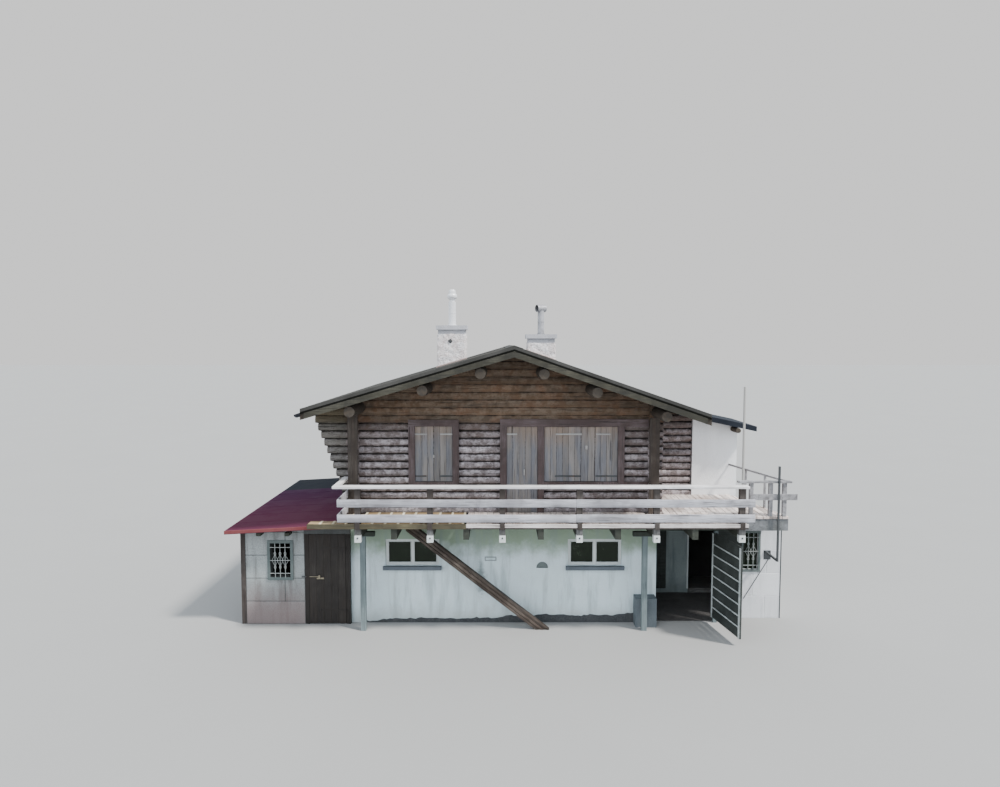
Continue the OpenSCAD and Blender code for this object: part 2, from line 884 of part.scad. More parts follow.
// Boards along the verges, under the sheet's edge
module bargeboards() {
    t0 = roof_all - barge_lap;
    t1 = t0 + barge_h;
    x0 = eave_l + barge_in;
    x1 = eave_r - barge_in;
    color("darkkhaki") for (y = [verge_y - barge_t, rear + verge_b]) along_y(y, y + barge_t) {
        polygon([[x0, left_z(x0, t1)], [ridge_x, left_z(ridge_x, t1)], [ridge_x, left_z(ridge_x, t0)],
            [x0, left_z(x0, t0)]]);
        polygon([[x1, right_z(x1, t1)], [ridge_x, right_z(ridge_x, t1)], [ridge_x, right_z(ridge_x, t0)],
            [x1, right_z(x1, t0)]]);
    }
}

// Chimneys

module stack_box(x, z1) {
    box(x - stack_w / 2, x + stack_w / 2, front + stack_y, front + stack_y + stack_w, slab_t, z1);
}

module stack_boxes() {
    stack_box(stack_lx, ridge_z + stack_over);
    stack_box(stack_rx, ridge_z + stack_over - stack_drop);
}

module stack_cap(x, z) {
    box(x - stack_w / 2 - cap_out, x + stack_w / 2 + cap_out, front + stack_y - cap_out,
        front + stack_y + stack_w + cap_out, z, z + cap_t);
}

module chimney_stacks() {
    color("seashell") {
        stack_boxes();
        stack_cap(stack_lx, ridge_z + stack_over);
        stack_cap(stack_rx, ridge_z + stack_over - stack_drop);
    }
}

// Left flue with a ring cowl, right flue with a turned hood
module flue_pipes() {
    z1 = ridge_z + stack_over + cap_t;
    z2 = z1 - stack_drop;
    y = front + stack_y + stack_w / 2;
    color("lightslategray") {
        translate([stack_lx, y, z1]) {
            cylinder(r = flue_r, h = flue_h, $fn = round_fn);
            translate([0, 0, flue_h]) cylinder(r = flue_r + cowl_out, h = cowl_h, $fn = round_fn);
        }
        translate([stack_rx, y, z2]) {
            cylinder(r = flue2_r, h = flue2_h, $fn = round_fn);
            translate([-hood_l / 2, 0, flue2_h + hood_up]) rotate([0, 90, 0])
                cylinder(r = flue2_r + hood_out, h = hood_l, $fn = round_fn);
        }
    }
}

// Balcony

joist_list = concat([for (i = [0:9]) post_at(i / 2)], [last_post]);

module balcony_joists() {
    color("darkgray") for (x = joist_list) {
        y0 = is_post(x) ? deck_f + post_w : deck_f;
        y1 = x > half_w ? ext_front : front;
        box(x - joist_w / 2, x + joist_w / 2, y0, y1, ground_h, log_z);
    }
    color("gray") terrace_beams();
}

// Beams under the terrace, which lies further back than the balcony
module terrace_beams() {
    y0 = front - terrace_y + terrace_in;
    intersection() {
        deck_plan(ground_h, log_z);
        union() {
            box(deck_r, terrace_r, y0, y0 + joist_w, ground_h, log_z);
            for (x = [deck_r + tbeam_in, terrace_r - tbeam_in - joist_w])
                box(x, x + joist_w, y0 + joist_w + joint, ext_front, ground_h, log_z);
        }
    }
}

// True where a railing post stands in front of a joist
function is_post(x) = len([for (p = post_list) if (abs(p - x) < joist_w) 1]) > 0;

// The deck's outline with the terrace, from z0 up to z1
module deck_plan(z0, z1) {
    upright(z0, z1) polygon([[deck_l, deck_f], [deck_r, deck_f], [deck_r, front - terrace_y],
        [terrace_r, front - terrace_y], [skew_x(terrace_r, front - terrace_y, ext_front), ext_front],
        [half_w, ext_front], [half_w, front], [ledge_x, front], [ledge_x, deck_f + ledge_d],
        [deck_l, deck_f + ledge_d]]);
}

module balcony_deck() {
    color("lavender") difference() {
        deck_plan(log_z, deck_z);
        for (x = post_list) post_box(x, 0, deck_z + 1);
        corner_log_ends();
    }
}

// Room for the log ends and corner boards that stand out over the deck
module corner_log_ends() {
    y0 = front - log_tail - corner_t - notch_gap;
    for (x = [-side_x, side_x])
        box(x - corner_w / 2 - notch_gap, x + corner_w / 2 + notch_gap, y0, front + 1, 0, deck_z + 1);
    box(half_w - 1, half_w + log_tail + notch_gap, front - 1, front + 2 * log_r + notch_gap,
        0, deck_z + 1);
}

module post_box(x, z0, z1) {
    box(x - post_w / 2, x + post_w / 2, deck_f, deck_f + post_w, z0, z1);
}

// Formwork panel on the left half, pale board on the right half
module deck_edge_boards() {
    seam = post_at(1.5);
    z0 = deck_z + edge_up - edge_h;
    color("khaki") {
        box(deck_l, seam, deck_f - rail_t, deck_f, z0, z0 + edge_h);
        box(seam + joint, deck_r, deck_f - rail_t, deck_f, z0, z0 + edge_h);
    }
}

module railing_posts() {
    color("maroon") for (x = post_list)
        post_box(x, ground_h - post_drop, deck_z + rail_h - cap_rail);
}

// Front boards and hand rail, turned back to the wall at the left end
module railing_boards() {
    x0 = rail_x;
    x1 = deck_r + rail_reach;
    y0 = deck_f - rail_t - rail_lip;
    z = deck_z + rail_h;
    color("lavender") {
        for (i = [0:1]) {
            zb = deck_z + rail_gap + i * (rail_board + rail_space);
            box(x0, x1, deck_f - rail_t, deck_f, zb, zb + rail_board);
            box(x0, x0 + rail_t, deck_f + joint, front - seat_gap, zb, zb + rail_board);
        }
        box(ledge_x, deck_r, y0, y0 + cap_rail_w, z - cap_rail, z);
        box(ledge_x, x0 + rail_t, y0 + cap_rail_w + joint, front - seat_gap,
            z - cap_rail, z);
    }
}

// Posts under the balcony, each with a short head piece
module support_posts() {
    y = front - prop_y;
    color("slategray") for (s = [[prop_lx, head_out, head_in], [prop_rx, head_in, head_out]]) {
        box(s[0] - prop_w / 2, s[0] + prop_w / 2, y - prop_w / 2, y + prop_w / 2, 0, ground_h - head_t);
        box(s[0] - s[1], s[0] + s[2], y - prop_w / 2, y + prop_w / 2, ground_h - head_t, ground_h);
    }
}

// Timbers side by side that lean from the ground up between the joists
module leaning_timbers() {
    x0 = joist_list[1] + joist_w / 2 + lean_in;
    long = 2 * ground_h / sin(lean_tilt);
    y0 = front - prop_y;
    top = log_z - (lean_t + seat_gap) / cos(lean_tilt);
    color("peru") intersection() {
        for (i = [0:2])
            translate([x0, y0, top]) rotate([0, lean_tilt, 0])
                box(-lean_t * 3, long, 0, lean_w, -i * (lean_t + joint), lean_t - i * (lean_t + joint));
        box(x0, x0 + long, y0, y0 + lean_w, 0, log_z);
    }
}

// Terrace and right store

// Rail, one board and posts in front, and a rail down the skewed side
module terrace_railing() {
    y0 = front - terrace_y;
    z = deck_z + rail_h - trail_drop - trail_t;
    z1 = deck_z + tboard_z;
    post1 = deck_r + tpost_in;
    yb = y0 - rail_t + trail_w;
    side = (ext_front - seat_gap - yb) / cos(skew);
    color("lavender") {
        box(deck_r + notch_gap, terrace_r + trail_t, y0 - rail_t, yb, z, z + trail_t);
        box(post1, terrace_r + tboard_over, y0 - rail_t, y0, z1, z1 + tboard_h);
        for (x = [post1, post1 + tpost_pitch, terrace_r - tpost_end - tpost_w])
            box(x, x + tpost_w, y0, y0 + tpost_w, deck_z, z);
        translate([terrace_r - trail_t / 2, yb, 0]) rotate([0, 0, skew]) {
            box(-trail_t, 0, trail_t * tan(skew) + 1, side, z, z + trail_t);
            for (y = [side / 3, 2 * side / 3]) box(-trail_t, 0, y, y + trail_t, deck_z, z);
        }
    }
}

store_f = front + store_y;
swin_x = store_l + swin_in;

module store_front_wall() {
    color("white") difference() {
        box(store_l, store_r, store_f, store_f + store_t, 0, ground_h);
        box(swin_x, swin_x + swin_w, store_f - 1, store_f + store_t + 1, swin_z, swin_z + swin_h);
    }
}

// The left side wall is straight, the right one runs skewed until it meets the extension
module store_side_walls() {
    y0 = store_f + store_t;
    x0 = skew_x(store_r, store_f, y0);
    x1 = skew_x(store_r, store_f, rear);
    skew_t = store_t / cos(skew);
    color("white") {
        box(store_l, store_l + store_t, y0, ext_front, 0, ground_h);
        difference() {
            upright(0, ground_h) polygon([[x0, y0], [x1, rear], [x1 - skew_t, rear], [x0 - skew_t, y0]]);
            box(half_w, ext_x, ext_front, rear + 1, -1, ground_h + 1);
        }
    }
}

// A window of bars: frame, uprights and cross bars between x0, x1, z0 and z1
module barred_window(x0, x1, z0, z1, y, rim, uprights) {
    step = (x1 - x0) / (uprights + 1);
    mid = y - grille_d / 2;
    bar = bar_w / 2;
    difference() {
        box(x0 - rim, x1 + rim, y - grille_d, y, z0 - rim, z1 + rim);
        box(x0, x1, y - grille_d - 1, y + 1, z0, z1);
    }
    for (i = [1:uprights]) box(x0 + i * step - bar, x0 + i * step + bar, mid - bar, mid + bar, z0, z1);
    for (f = cross_bars) {
        z = z0 + f * (z1 - z0);
        box(x0, x1, mid - bar, mid + bar, z - bar, z + bar);
    }
}

// Barred windows of both stores
module barred_windows() {
    color("gray") {
        barred_window(swin_x, swin_x + swin_w, swin_z, swin_z + swin_h, store_f, swin_rim, swin_bars);
        barred_window(awin_x, awin_x + awin_w, awin_z, awin_z + awin_h, annex_f, awin_rim, awin_bars);
    }
}

// Steel post beside the terrace with its arm, wall plate and stay, and the mast behind the rail
module steel_posts() {
    x = terrace_r - steel_in;
    y = front - terrace_y - rail_t - steel_w / 2;
    plate_t = 12;
    color("dimgray") {
        box(x - steel_w / 2, x + steel_w / 2, y - steel_w / 2, y + steel_w / 2,
            steel_z, deck_z + steel_top);
        box(x - steel_w / 2, x + steel_w / 2, y + steel_w / 2, store_f, steel_z, steel_z + steel_w);
        box(x - steel_w, x + 3 * steel_w, store_f - plate_t, store_f,
            steel_z - 4 * steel_w, steel_z + steel_w);
        translate([x + 2.25 * steel_w, store_f - plate_t, steel_z - 3 * steel_w])
            rotate([0, 180 + stay_tilt, 0]) cylinder(r = stay_r, h = stay_l, $fn = round_fn);
    }
    mast_y = front - terrace_y - rail_t + trail_w + mast_r + notch_gap;
    color("silver") translate([deck_r + mast_in, mast_y, deck_z])
        cylinder(r = mast_r, h = mast_h, $fn = round_fn);
}

// Left store

annex_f = front - annex_out;
annex_b = annex_f + annex_d;
adoor_l = -half_w - ajamb_w - adoor_w;

// Everything above the underside of the left store's roof
module annex_cut() {
    x0 = annex_l - far;
    along_y(annex_f - far, annex_b + far) polygon([[x0, annex_top(x0)], [-half_w, annex_top(-half_w)],
        [-half_w, ridge_z], [x0, ridge_z]]);
}

module annex_front_wall() {
    color("lightgray") difference() {
        union() {
            box(annex_l, adoor_l - ajamb_w, annex_f, annex_f + annex_t, 0, ridge_z);
            box(adoor_l - ajamb_w, -half_w, annex_f, annex_f + annex_t, adoor_top, ridge_z);
        }
        box(awin_x, awin_x + awin_w, annex_f - 1, annex_f + annex_t + 1, awin_z, awin_z + awin_h);
        annex_cut();
    }
}

module annex_left_wall() {
    color("lightgray") difference() {
        box(annex_l, annex_l + annex_t, annex_f + annex_t, annex_b, 0, ridge_z);
        annex_cut();
    }
}

module annex_rear_wall() {
    color("lightgray") difference() {
        box(annex_l + annex_t, -half_w, annex_b - annex_t, annex_b, 0, ridge_z);
        annex_cut();
    }
}

module annex_slab(y0, y1) {
    x0 = annex_l - annex_lo;
    along_y(y0, y1) polygon([[x0, annex_top(x0)], [-half_w, annex_top(-half_w)],
        [-half_w, annex_top(-half_w) + annex_roof_t], [x0, annex_top(x0) + annex_roof_t]]);
}

module annex_roof() { color("brown") annex_slab(annex_f - annex_fo, annex_b - annex_rear); }

module annex_rear_roof() {
    color("darkslategray") annex_slab(annex_b - annex_rear + joint, annex_b + annex_bo);
}

adoor_top = adoor_gap + adoor_h + leaf_gap;
adoor_axis = [-half_w - ajamb_w, annex_f - hinge_y];
adoor_hinges = [adoor_gap + adoor_low, adoor_gap + adoor_h - adoor_up];

module annex_door_frame() {
    x0 = adoor_l - ajamb_w;
    color("saddlebrown") {
        difference() {
            box(x0, -half_w, annex_f, annex_f + ajamb_d, 0, adoor_top);
            box(adoor_l - leaf_gap, -half_w - ajamb_w + leaf_gap, annex_f - 1,
                annex_f + adoor_t + leaf_gap, 0, adoor_top + 1);
            box(adoor_l + stop_w, -half_w - ajamb_w - stop_w, annex_f, annex_f + ajamb_d + 1,
                -1, adoor_top + 1);
        }
        for (z = adoor_hinges) pintle(adoor_axis, z);
    }
}

// Fixed half of a hinge: a pin on a round foot with a plate beside it
module pintle(axis, z) {
    plate = 60;
    translate([axis[0], axis[1], z]) {
        translate([0, 0, -plate / 2]) cylinder(r = pin_r + eye_wall, h = plate / 2, $fn = round_fn);
        cylinder(r = pin_r, h = eye_h, $fn = round_fn);
        box(0, plate, hinge_y - strap_t, hinge_y, -plate / 2, 0);
    }
}

// Moving half of a hinge: an eye with a strap along the leaf
module strap(axis, z, length) {
    lip = 5;
    translate([axis[0], axis[1], z + pin_gap]) difference() {
        union() {
            cylinder(r = pin_r + eye_wall, h = eye_h, $fn = round_fn);
            box(-length, 0, hinge_y - strap_t, hinge_y, lip, eye_h - lip);
        }
        translate([0, 0, -1]) cylinder(r = pin_r + pin_gap, h = eye_h + 2, $fn = round_fn);
    }
}

module annex_door() {
    color("saddlebrown") {
        box(adoor_l, -half_w - ajamb_w, annex_f, annex_f + adoor_t, adoor_gap, adoor_gap + adoor_h);
        for (z = adoor_hinges) strap(adoor_axis, z, adoor_strap);
    }
}

// Porch

gate_f = front - gpost_out;
gate_axis = [gpost_x - leaf_gap, gate_f - hinge_y];
gate_len = gpost_x - half_w - 4 * leaf_gap;
gbeam_z = ground_h - gbeam_h;
gate_hinges = [gate_z + gate_low, gate_z + gate_h - gate_up];

module gate_frame() {
    color("slategray") {
        box(gpost_x, gpost_x + gpost_w, gate_f, gate_f + gpost_w, 0, gbeam_z);
        box(half_w, store_l + store_t, gate_f, gate_f + gpost_w, gbeam_z, ground_h);
        for (z = gate_hinges) pintle(gate_axis, z);
    }
}

// Boards between the gate post and the right store
module porch_panel() {
    h = (gbeam_z - gate_z) / panel_boards;
    color("dimgray") for (i = [0:panel_boards - 1])
        box(gpost_x + gpost_w, store_l, front, front + rail_t,
            gate_z + i * h, gate_z + (i + 1) * h - joint);
}

// Lapped boards between two stiles, standing open
module porch_gate() {
    x1 = -leaf_gap;
    x0 = x1 - gate_len;
    lap = gboard_t / 2;
    color("darkslategray") translate([gate_axis[0], gate_axis[1], 0]) rotate([0, 0, gate_open]) {
        for (x = [x0, x1 - stile_w])
            box(x, x + stile_w, hinge_y, hinge_y + gate_t, gate_z, gate_z + gate_h);
        for (i = [0:gate_boards - 1])
            translate([x0 + stile_w, hinge_y + gate_t / 2, gate_z + i * gate_h / gate_boards])
                rotate([gboard_tilt, 0, 0])
                    box(0, gate_len - 2 * stile_w, -lap, lap, 0, gate_h / gate_boards + lap);
        for (z = gate_hinges) strap([0, 0], z, gate_strap);
    }
}

// Low block at the foot of the front wall beside the porch
module corner_plinth() {
    x1 = half_w - plinth_in;
    color("slategray") box(x1 - plinth_w, x1, front - plinth_d, front, 0, plinth_h);
}

ground_floors();
front_ground_wall();
rear_ground_wall();
side_ground_walls();
ground_window_frames();
ground_window_glass();
ground_window_sills();
porch_back_wall();
extension_side_wall();
extension_rear_wall();
upper_floor();
front_log_wall();
rear_log_wall();
side_log_walls();
corner_boards();
recess_log_wall();
recess_plaster_wall();
upper_window_frames();
window_shutters();
balcony_door();
purlins();
roof_boards_left();
roof_boards_right();
roof_sheets();
extension_roof();
bargeboards();
chimney_stacks();
flue_pipes();
balcony_joists();
balcony_deck();
deck_edge_boards();
railing_posts();
railing_boards();
support_posts();
terrace_railing();
store_front_wall();
store_side_walls();
steel_posts();
annex_front_wall();
annex_left_wall();
annex_rear_wall();
annex_roof();
annex_rear_roof();
annex_door_frame();
annex_door();
barred_windows();
gate_frame();
porch_panel();
porch_gate();
leaning_timbers();
corner_plinth();
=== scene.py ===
"""Looks of the alpine chalet: round logs, boards, stained render, sheets and small fittings."""

import math
import random

import bpy
from mathutils import Matrix, Vector


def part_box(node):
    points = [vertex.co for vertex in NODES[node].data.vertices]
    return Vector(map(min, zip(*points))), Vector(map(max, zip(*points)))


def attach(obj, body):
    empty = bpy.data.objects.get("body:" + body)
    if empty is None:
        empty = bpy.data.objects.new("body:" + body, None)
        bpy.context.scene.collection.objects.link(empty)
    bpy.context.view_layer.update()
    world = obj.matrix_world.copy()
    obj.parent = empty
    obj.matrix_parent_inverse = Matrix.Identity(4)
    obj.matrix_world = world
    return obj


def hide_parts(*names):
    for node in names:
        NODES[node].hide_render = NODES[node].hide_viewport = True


bl_info = {
    "name": "Alpine chalet looks",
    "version": (1, 0, 0),
    "blender": (4, 5, 0),
    "location": "View3D > Sidebar > Chalet",
    "description": "Dresses the chalet frame with logs, boards, masonry and sheet metal",
    "category": "Object",
}

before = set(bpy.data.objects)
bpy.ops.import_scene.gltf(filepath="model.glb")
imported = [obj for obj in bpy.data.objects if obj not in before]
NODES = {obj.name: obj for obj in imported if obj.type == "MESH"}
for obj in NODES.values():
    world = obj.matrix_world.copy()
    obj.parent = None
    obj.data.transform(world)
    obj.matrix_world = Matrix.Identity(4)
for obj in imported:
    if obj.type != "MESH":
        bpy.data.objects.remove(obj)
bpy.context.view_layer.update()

# Places of the house in metres
HALF_W = 3.4
FRONT = -3.5
REAR = 3.5
LOG_Z = 2.44
DECK_Z = 2.5
COURSE = 0.17
LOG_R = 0.105
LOG_TAIL = 0.12
CORNER_X = HALF_W - LOG_R
RIDGE_X = 0.215
(EAVE_L, VERGE_F, _), (EAVE_R, VERGE_B, RIDGE_Z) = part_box("roof_sheets")
PITCH_L = math.radians(16.3)
PITCH_R = math.radians(19.1)
ROOF_T = 0.2
EXT_PITCH = math.radians(12)
EXT_STEP = 0.13
EXT_ROOF_T = 0.12
EXT_FRONT = -1.6
EXT_LOGS = 4.668
HEWN_Z = 4.5
LEAF_Y = -3.51
RAIL_Y = -4.63
# The log ends at the left reach out further by this share of their height above CORBEL_Z
CORBEL_Z = 3.035
CORBEL_RISE = 0.373
CASING_HEAD = 4.412
RECESS_TOP = 4.85

# Node groups, materials and logs to copy, by name, and the source of all uneven measures
GROUPS = {}
MATERIALS = {}
masters = {}
rng = random.Random(7)

# Wood: dark, middle and light colour in thousandths, grain, weather, and tones of the boards
WOODS = {
    "corner_brown": ((22, 15, 12), (50, 36, 28), (120, 100, 85), "z", 0.5),
    "rail_silver": ((200, 195, 210), "rail", (600, 610, 670), "x", 0.6, (0.88, 1.1)),
    # The hand rail is a lighter copy of the railing's silver: painted highlight on it
    "hand_rail_silver": ((500, 480, 480), (740, 730, 760), (930, 930, 950), "x", 0.6, (0.94, 1.06)),
    "rail_silver_deep": ((130, 124, 130), (280, 275, 285), (520, 525, 550), "y", 0.6),
    "deck_planks": ((360, 280, 240), "deck", (840, 780, 750), "y", 0.6, (0.72, 1.18)),
    "post_brown": ((20, 14, 12), (45, 34, 29), (110, 97, 90), "z", 0.45),
    "joist_grey": ((14, 17, 13), (30, 35, 26), (75, 82, 66), "y", 0.4),
    "roof_boarding": ((20, 15, 11), (50, 38, 28), (100, 83, 64), "y", 0.3),
    "barge_olive": ((10, 9.5, 6), (26, 24, 16), (85, 80, 58), "x", 0.5),
    "edge_yellow": ((150, 95, 45), (290, 200, 100), (500, 380, 220), "x", 0.5, (0.7, 1.2)),
    # Front edge of the formwork: a darker copy of its yellow wood, painted shade on the front faces
    "edge_olive": ((30, 25, 13), (66, 56, 31), (140, 122, 70), "x", 0.5, (0.8, 1.2)),
    "shoulder_grey": ((50, 50, 48), (110, 110, 110), (220, 220, 225), "z", 0.5),
    "batten_pale": ((500, 420, 260), (780, 700, 500), (920, 880, 740), "y", 0.5, (0.85, 1.05)),
    "edge_pale": ((380, 330, 310), (600, 560, 550), (860, 840, 840), "x", 0.6, (0.88, 1.1)),
    "post_grey_green": ((90, 118, 122), (150, 190, 200), (260, 310, 320), "z", 0.4),
    "lean_brown": ((22, 14, 11), (58, 40, 30), (170, 135, 110), "z", 0.7, (0.7, 1.35)),
    "door_dark": ((10, 7, 6), (22, 17, 14), (45, 38, 32), "z", 0.35, (0.8, 1.25)),
    "gate_dark": ((10, 13, 12), (28, 34, 31), (90, 100, 95), "x", 0.35),
    # Pale paint of the gate's stiles, also painted highlight on its board edges
    "gate_edge_pale": ((250, 280, 280), (470, 520, 520), (680, 720, 720), "x", 0.5),
    "floor_boards": ((22, 17, 13), (55, 42, 32), (120, 98, 78), "x", 0.4),
}
# Masonry: two colours and their stain in thousandths, and shares of drips, blotches and specks
MASONRY = {
    "ground_render": ("render", (600, 700, 730), (240, 300, 300), 0.5, 0.6, 0.12),
    "porch_render": ((340, 390, 390), (240, 280, 285), (100, 125, 125), 0.5, 0.6, 0.2),
    "white_plaster": ((950, 960, 970), (900, 910, 930), (550, 550, 560), 0.12, 0.3, 0.06),
    "annex_block_paint": ("blocks", (300, 320, 325), (80, 70, 66), 0.6, 0.7, 0.35),
    "store_block_paint": ((820, 830, 860), (700, 720, 750), (400, 410, 430), 0.3, 0.4, 0.12),
    "joint_mortar": ((100, 110, 110), (70, 75, 75), (35, 35, 35), 0.4, 0.5, 0.3),
    "stack_cement": ((600, 600, 640), (460, 460, 500), (270, 270, 290), 0.35, 0.5, 0.3),
    "wall_mark": ((200, 230, 230), (120, 150, 150), (50, 60, 60), 0.35, 0.5, 0.4),
    "vent_trim": ((360, 410, 420), (260, 300, 310), (140, 170, 180), 0.3, 0.5, 0.3),
    "sill_grey": ((120, 145, 175), (80, 100, 120), (40, 50, 60), 0.3, 0.4, 0.2),
    "plinth_grey": ((140, 170, 190), (100, 120, 135), (45, 55, 60), 0.4, 0.5, 0.25),
    "floor_concrete": ((170, 165, 160), (120, 115, 110), (60, 58, 55), 0.2, 0.6, 0.4),
    # Dark porch paving: partly the concrete's own colour, partly painted shade under the deck
    "porch_paving": ((85, 80, 78), (50, 47, 46), (20, 19, 18), 0.2, 0.6, 0.5),
    "foot_bitumen": ((22, 26, 30), (50, 55, 60), (150, 150, 150), 0.2, 0.5, 0.3),
}
# Masonry whose blocks each have a tone
TONED = ("annex_block_paint", "store_block_paint")
# Sheet metal: colour and worn colour in thousandths, roughness, metal, dust and sheen
SHEETS = {
    "roof_sheet_grey": ((50, 49, 46), (105, 103, 98), 0.75, 0, 0.6, 0.1),
    "apron_brown": ((300, 210, 190), (420, 360, 340), 0.6, 0, 0.6),
    "slate_blue_sheet": ((14, 17, 24), (36, 43, 56), 0.7, 0, 0.4, 0.1),
    "dark_slate_sheet": ((18, 20, 26), (45, 48, 56), 0.8, 0, 0.4, 0.06),
    "verge_black": ((7, 7, 6), (20, 20, 19), 0.9, 0, 0.4, 0.02),
    "maroon_sheet": ("maroon", (100, 30, 55), 0.8, 0, 0.3, 0.06),
    "maroon_edge": ((160, 40, 45), (240, 100, 100), 0.7, 0, 0.4, 0.1),
    "flue_white": ((800, 800, 820), (620, 620, 630), 0.35, 0.2, 0.35),
    "flue_sooty": ((500, 500, 530), (100, 98, 100), 0.5, 0.5, 0.9),
    "dark_steel": ((45, 50, 55), (140, 150, 150), 0.45, 0.3),
    "mast_steel": ((45, 50, 55), (140, 150, 150), 0.45, 0.3),
    "pale_zinc": ((380, 370, 360), (260, 250, 240), 0.5, 0.3),
    "old_brass": ((300, 260, 180), (180, 160, 130), 0.45, 0.4),
    "white_paint": ((660, 700, 700), (500, 530, 520), 0.5),
    "ironwork_pale": ((360, 385, 380), (240, 260, 255), 0.6, 0, 0.4, 0.2),
    "grille_grey_green": ((100, 125, 125), (200, 225, 220), 0.6, 0, 0.4, 0.2),
}
# What single finishes have besides
EXTRA = {
    "joist_grey": {"beyond": (5.15, (0.19, 0.2, 0.215))},
    # Near black above 2.085 m: painted shade on the posts under the deck
    "post_grey_green": {"upper": (2.085, (0.03, 0.04, 0.032))},
    "lean_brown": {"tilt": (0, math.radians(52), 0)},
    "ground_render": {"green": (1.72, 2.25, (0.145, 0.22, 0.085)), "foot": (0.2, 0.75, (0.42, 0.46, 0.45)),
                      "streak": (-0.49, 1.0, 0.2, 0.7, (0.17, 0.22, 0.23))},
    "porch_render": {"foot": (0.1, 0.8, (0.12, 0.14, 0.14))},
    "white_plaster": {"rough": 0.75, "inside": (5.58, -1.42, -0.43)},
    "annex_block_paint": {"foot": (0.45, 1.45, (0.18, 0.13, 0.125))},
    "sill_grey": {"rough": 0.6},
    "porch_paving": {"bump": 0.006},
    "foot_bitumen": {"bump": 0.008},
    "maroon_sheet": {"back": (-3.4, 0.6, (0.05, 0.017, 0.045))},
    "dark_steel": {"rust": (0.16, 0.07, 0.035)},
    "mast_steel": {"pale": (5.6, 2.7, (0.42, 0.41, 0.39))},
}
# Finishes of the frame's own nodes
PAINTED = {
    "floor_concrete": "ground_floors",
    "ground_render": "front_ground_wall rear_ground_wall side_ground_walls",
    "white_paint": "ground_window_frames",
    "window_glass": "ground_window_glass",
    "sill_grey": "ground_window_sills",
    "porch_render": "porch_back_wall",
    "white_plaster": "extension_side_wall extension_rear_wall recess_plaster_wall "
                     "store_front_wall store_side_walls",
    "floor_boards": "upper_floor",
    "corner_brown": "corner_boards",
    "casing_paint": "upper_window_frames",
    "roof_boarding": "roof_boards_left roof_boards_right",
    "roof_sheet_grey": "roof_sheets",
    "slate_blue_sheet": "extension_roof",
    "barge_olive": "bargeboards",
    "stack_cement": "chimney_stacks",
    "flue_white": "flue_pipes",
    "joist_grey": "balcony_joists",
    "post_brown": "railing_posts",
    "post_grey_green": "support_posts gate_frame",
    "rail_silver_deep": "terrace_railing",
    "mast_steel": "steel_posts",
    "joint_mortar": "annex_front_wall annex_left_wall annex_rear_wall",
    "maroon_sheet": "annex_roof",
    "dark_slate_sheet": "annex_rear_roof",
    "door_dark": "annex_door_frame annex_door",
    "grille_grey_green": "barred_windows",
    "gate_dark": "porch_panel porch_gate",
    "lean_brown": "leaning_timbers",
    "plinth_grey": "corner_plinth",
}


def left_z(x, depth=0.0):
    """Height on the left slope at x, at that depth under its top."""
    return RIDGE_Z - (RIDGE_X - x) * math.tan(PITCH_L) - depth / math.cos(PITCH_L)


def right_z(x, depth=0.0):
    """Height on the right slope at x, at that depth under its top."""
    return RIDGE_Z - (x - RIDGE_X) * math.tan(PITCH_R) - depth / math.cos(PITCH_R)


def ext_z(x, depth=0.0):
    """Height on the extension roof at x, at that depth under its top."""
    fall = (x - EAVE_R) * math.tan(EXT_PITCH) + depth / math.cos(EXT_PITCH)
    return right_z(EAVE_R) - EXT_STEP - fall


# Modelling helpers


def leave_edit():
    """Back to object mode."""
    bpy.ops.object.mode_set(mode="OBJECT")


def deselect():
    """Leaves edit mode and clears the selection, the frame's nodes too."""
    if bpy.context.object and bpy.context.object.mode != "OBJECT":
        leave_edit()
    bpy.ops.object.select_all(action="DESELECT")


def activate(obj):
    """Makes obj the only selected and the active object."""
    deselect()
    obj.select_set(True)
    bpy.context.view_layer.objects.active = obj


def edit(obj, mode="EDGE", action="SELECT"):
    """Opens obj in edit mode with all or nothing selected."""
    activate(obj)
    bpy.ops.object.mode_set(mode="EDIT")
    bpy.ops.mesh.select_mode(type=mode)
    bpy.ops.mesh.select_all(action=action)


def pick(obj, kind, test):
    """Selects the edges, faces or vertices that pass the test, and opens edit mode on them."""
    edit(obj, {"edges": "EDGE", "polygons": "FACE", "vertices": "VERT"}[kind], "DESELECT")
    leave_edit()
    for part in getattr(obj.data, kind):
        part.select = bool(test(part))
    bpy.ops.object.mode_set(mode="EDIT")


def pick_long(obj, axis, least):
    """Selects the edges that reach further than least along X, 0, or Z, 2."""
    def far(edge):
        first, last = (obj.data.vertices[number].co[axis] for number in edge.vertices)
        return abs(first - last) > least
    pick(obj, "edges", far)


def divide(cuts):
    """Subdivides what is selected and leaves edit mode."""
    bpy.ops.mesh.subdivide(number_cuts=cuts)
    leave_edit()


def bevel(width, segments=1):
    """Bevels the edges that are selected and leaves edit mode."""
    bpy.ops.mesh.bevel(offset=width, segments=segments, affect="EDGES")
    leave_edit()


def push_out(inset, shift):
    """Insets the faces that are selected, extrudes them by shift and leaves edit mode."""
    bpy.ops.mesh.inset(thickness=inset)
    bpy.ops.mesh.extrude_region_move(TRANSFORM_OT_translate={"value": shift})
    leave_edit()


def spin(obj, degrees, axis, centre):
    """Turns the whole mesh round an axis through the centre."""
    edit(obj, "VERT")
    bpy.ops.transform.rotate(value=math.radians(degrees), orient_axis=axis, center_override=centre)
    leave_edit()


def settle(obj):
    """Puts the object's place, turn and scale into its mesh."""
    activate(obj)
    bpy.ops.object.transform_apply(location=True, rotation=True, scale=True)
    return obj


def cube(middle, size):
    """A box round that middle."""
    deselect()
    bpy.ops.mesh.primitive_cube_add(size=1, location=middle, scale=size)
    return settle(bpy.context.object)


# Turns that lay a cylinder along an axis
ALONG_X = (0, math.pi / 2, 0)
ALONG_Y = (math.pi / 2, 0, 0)


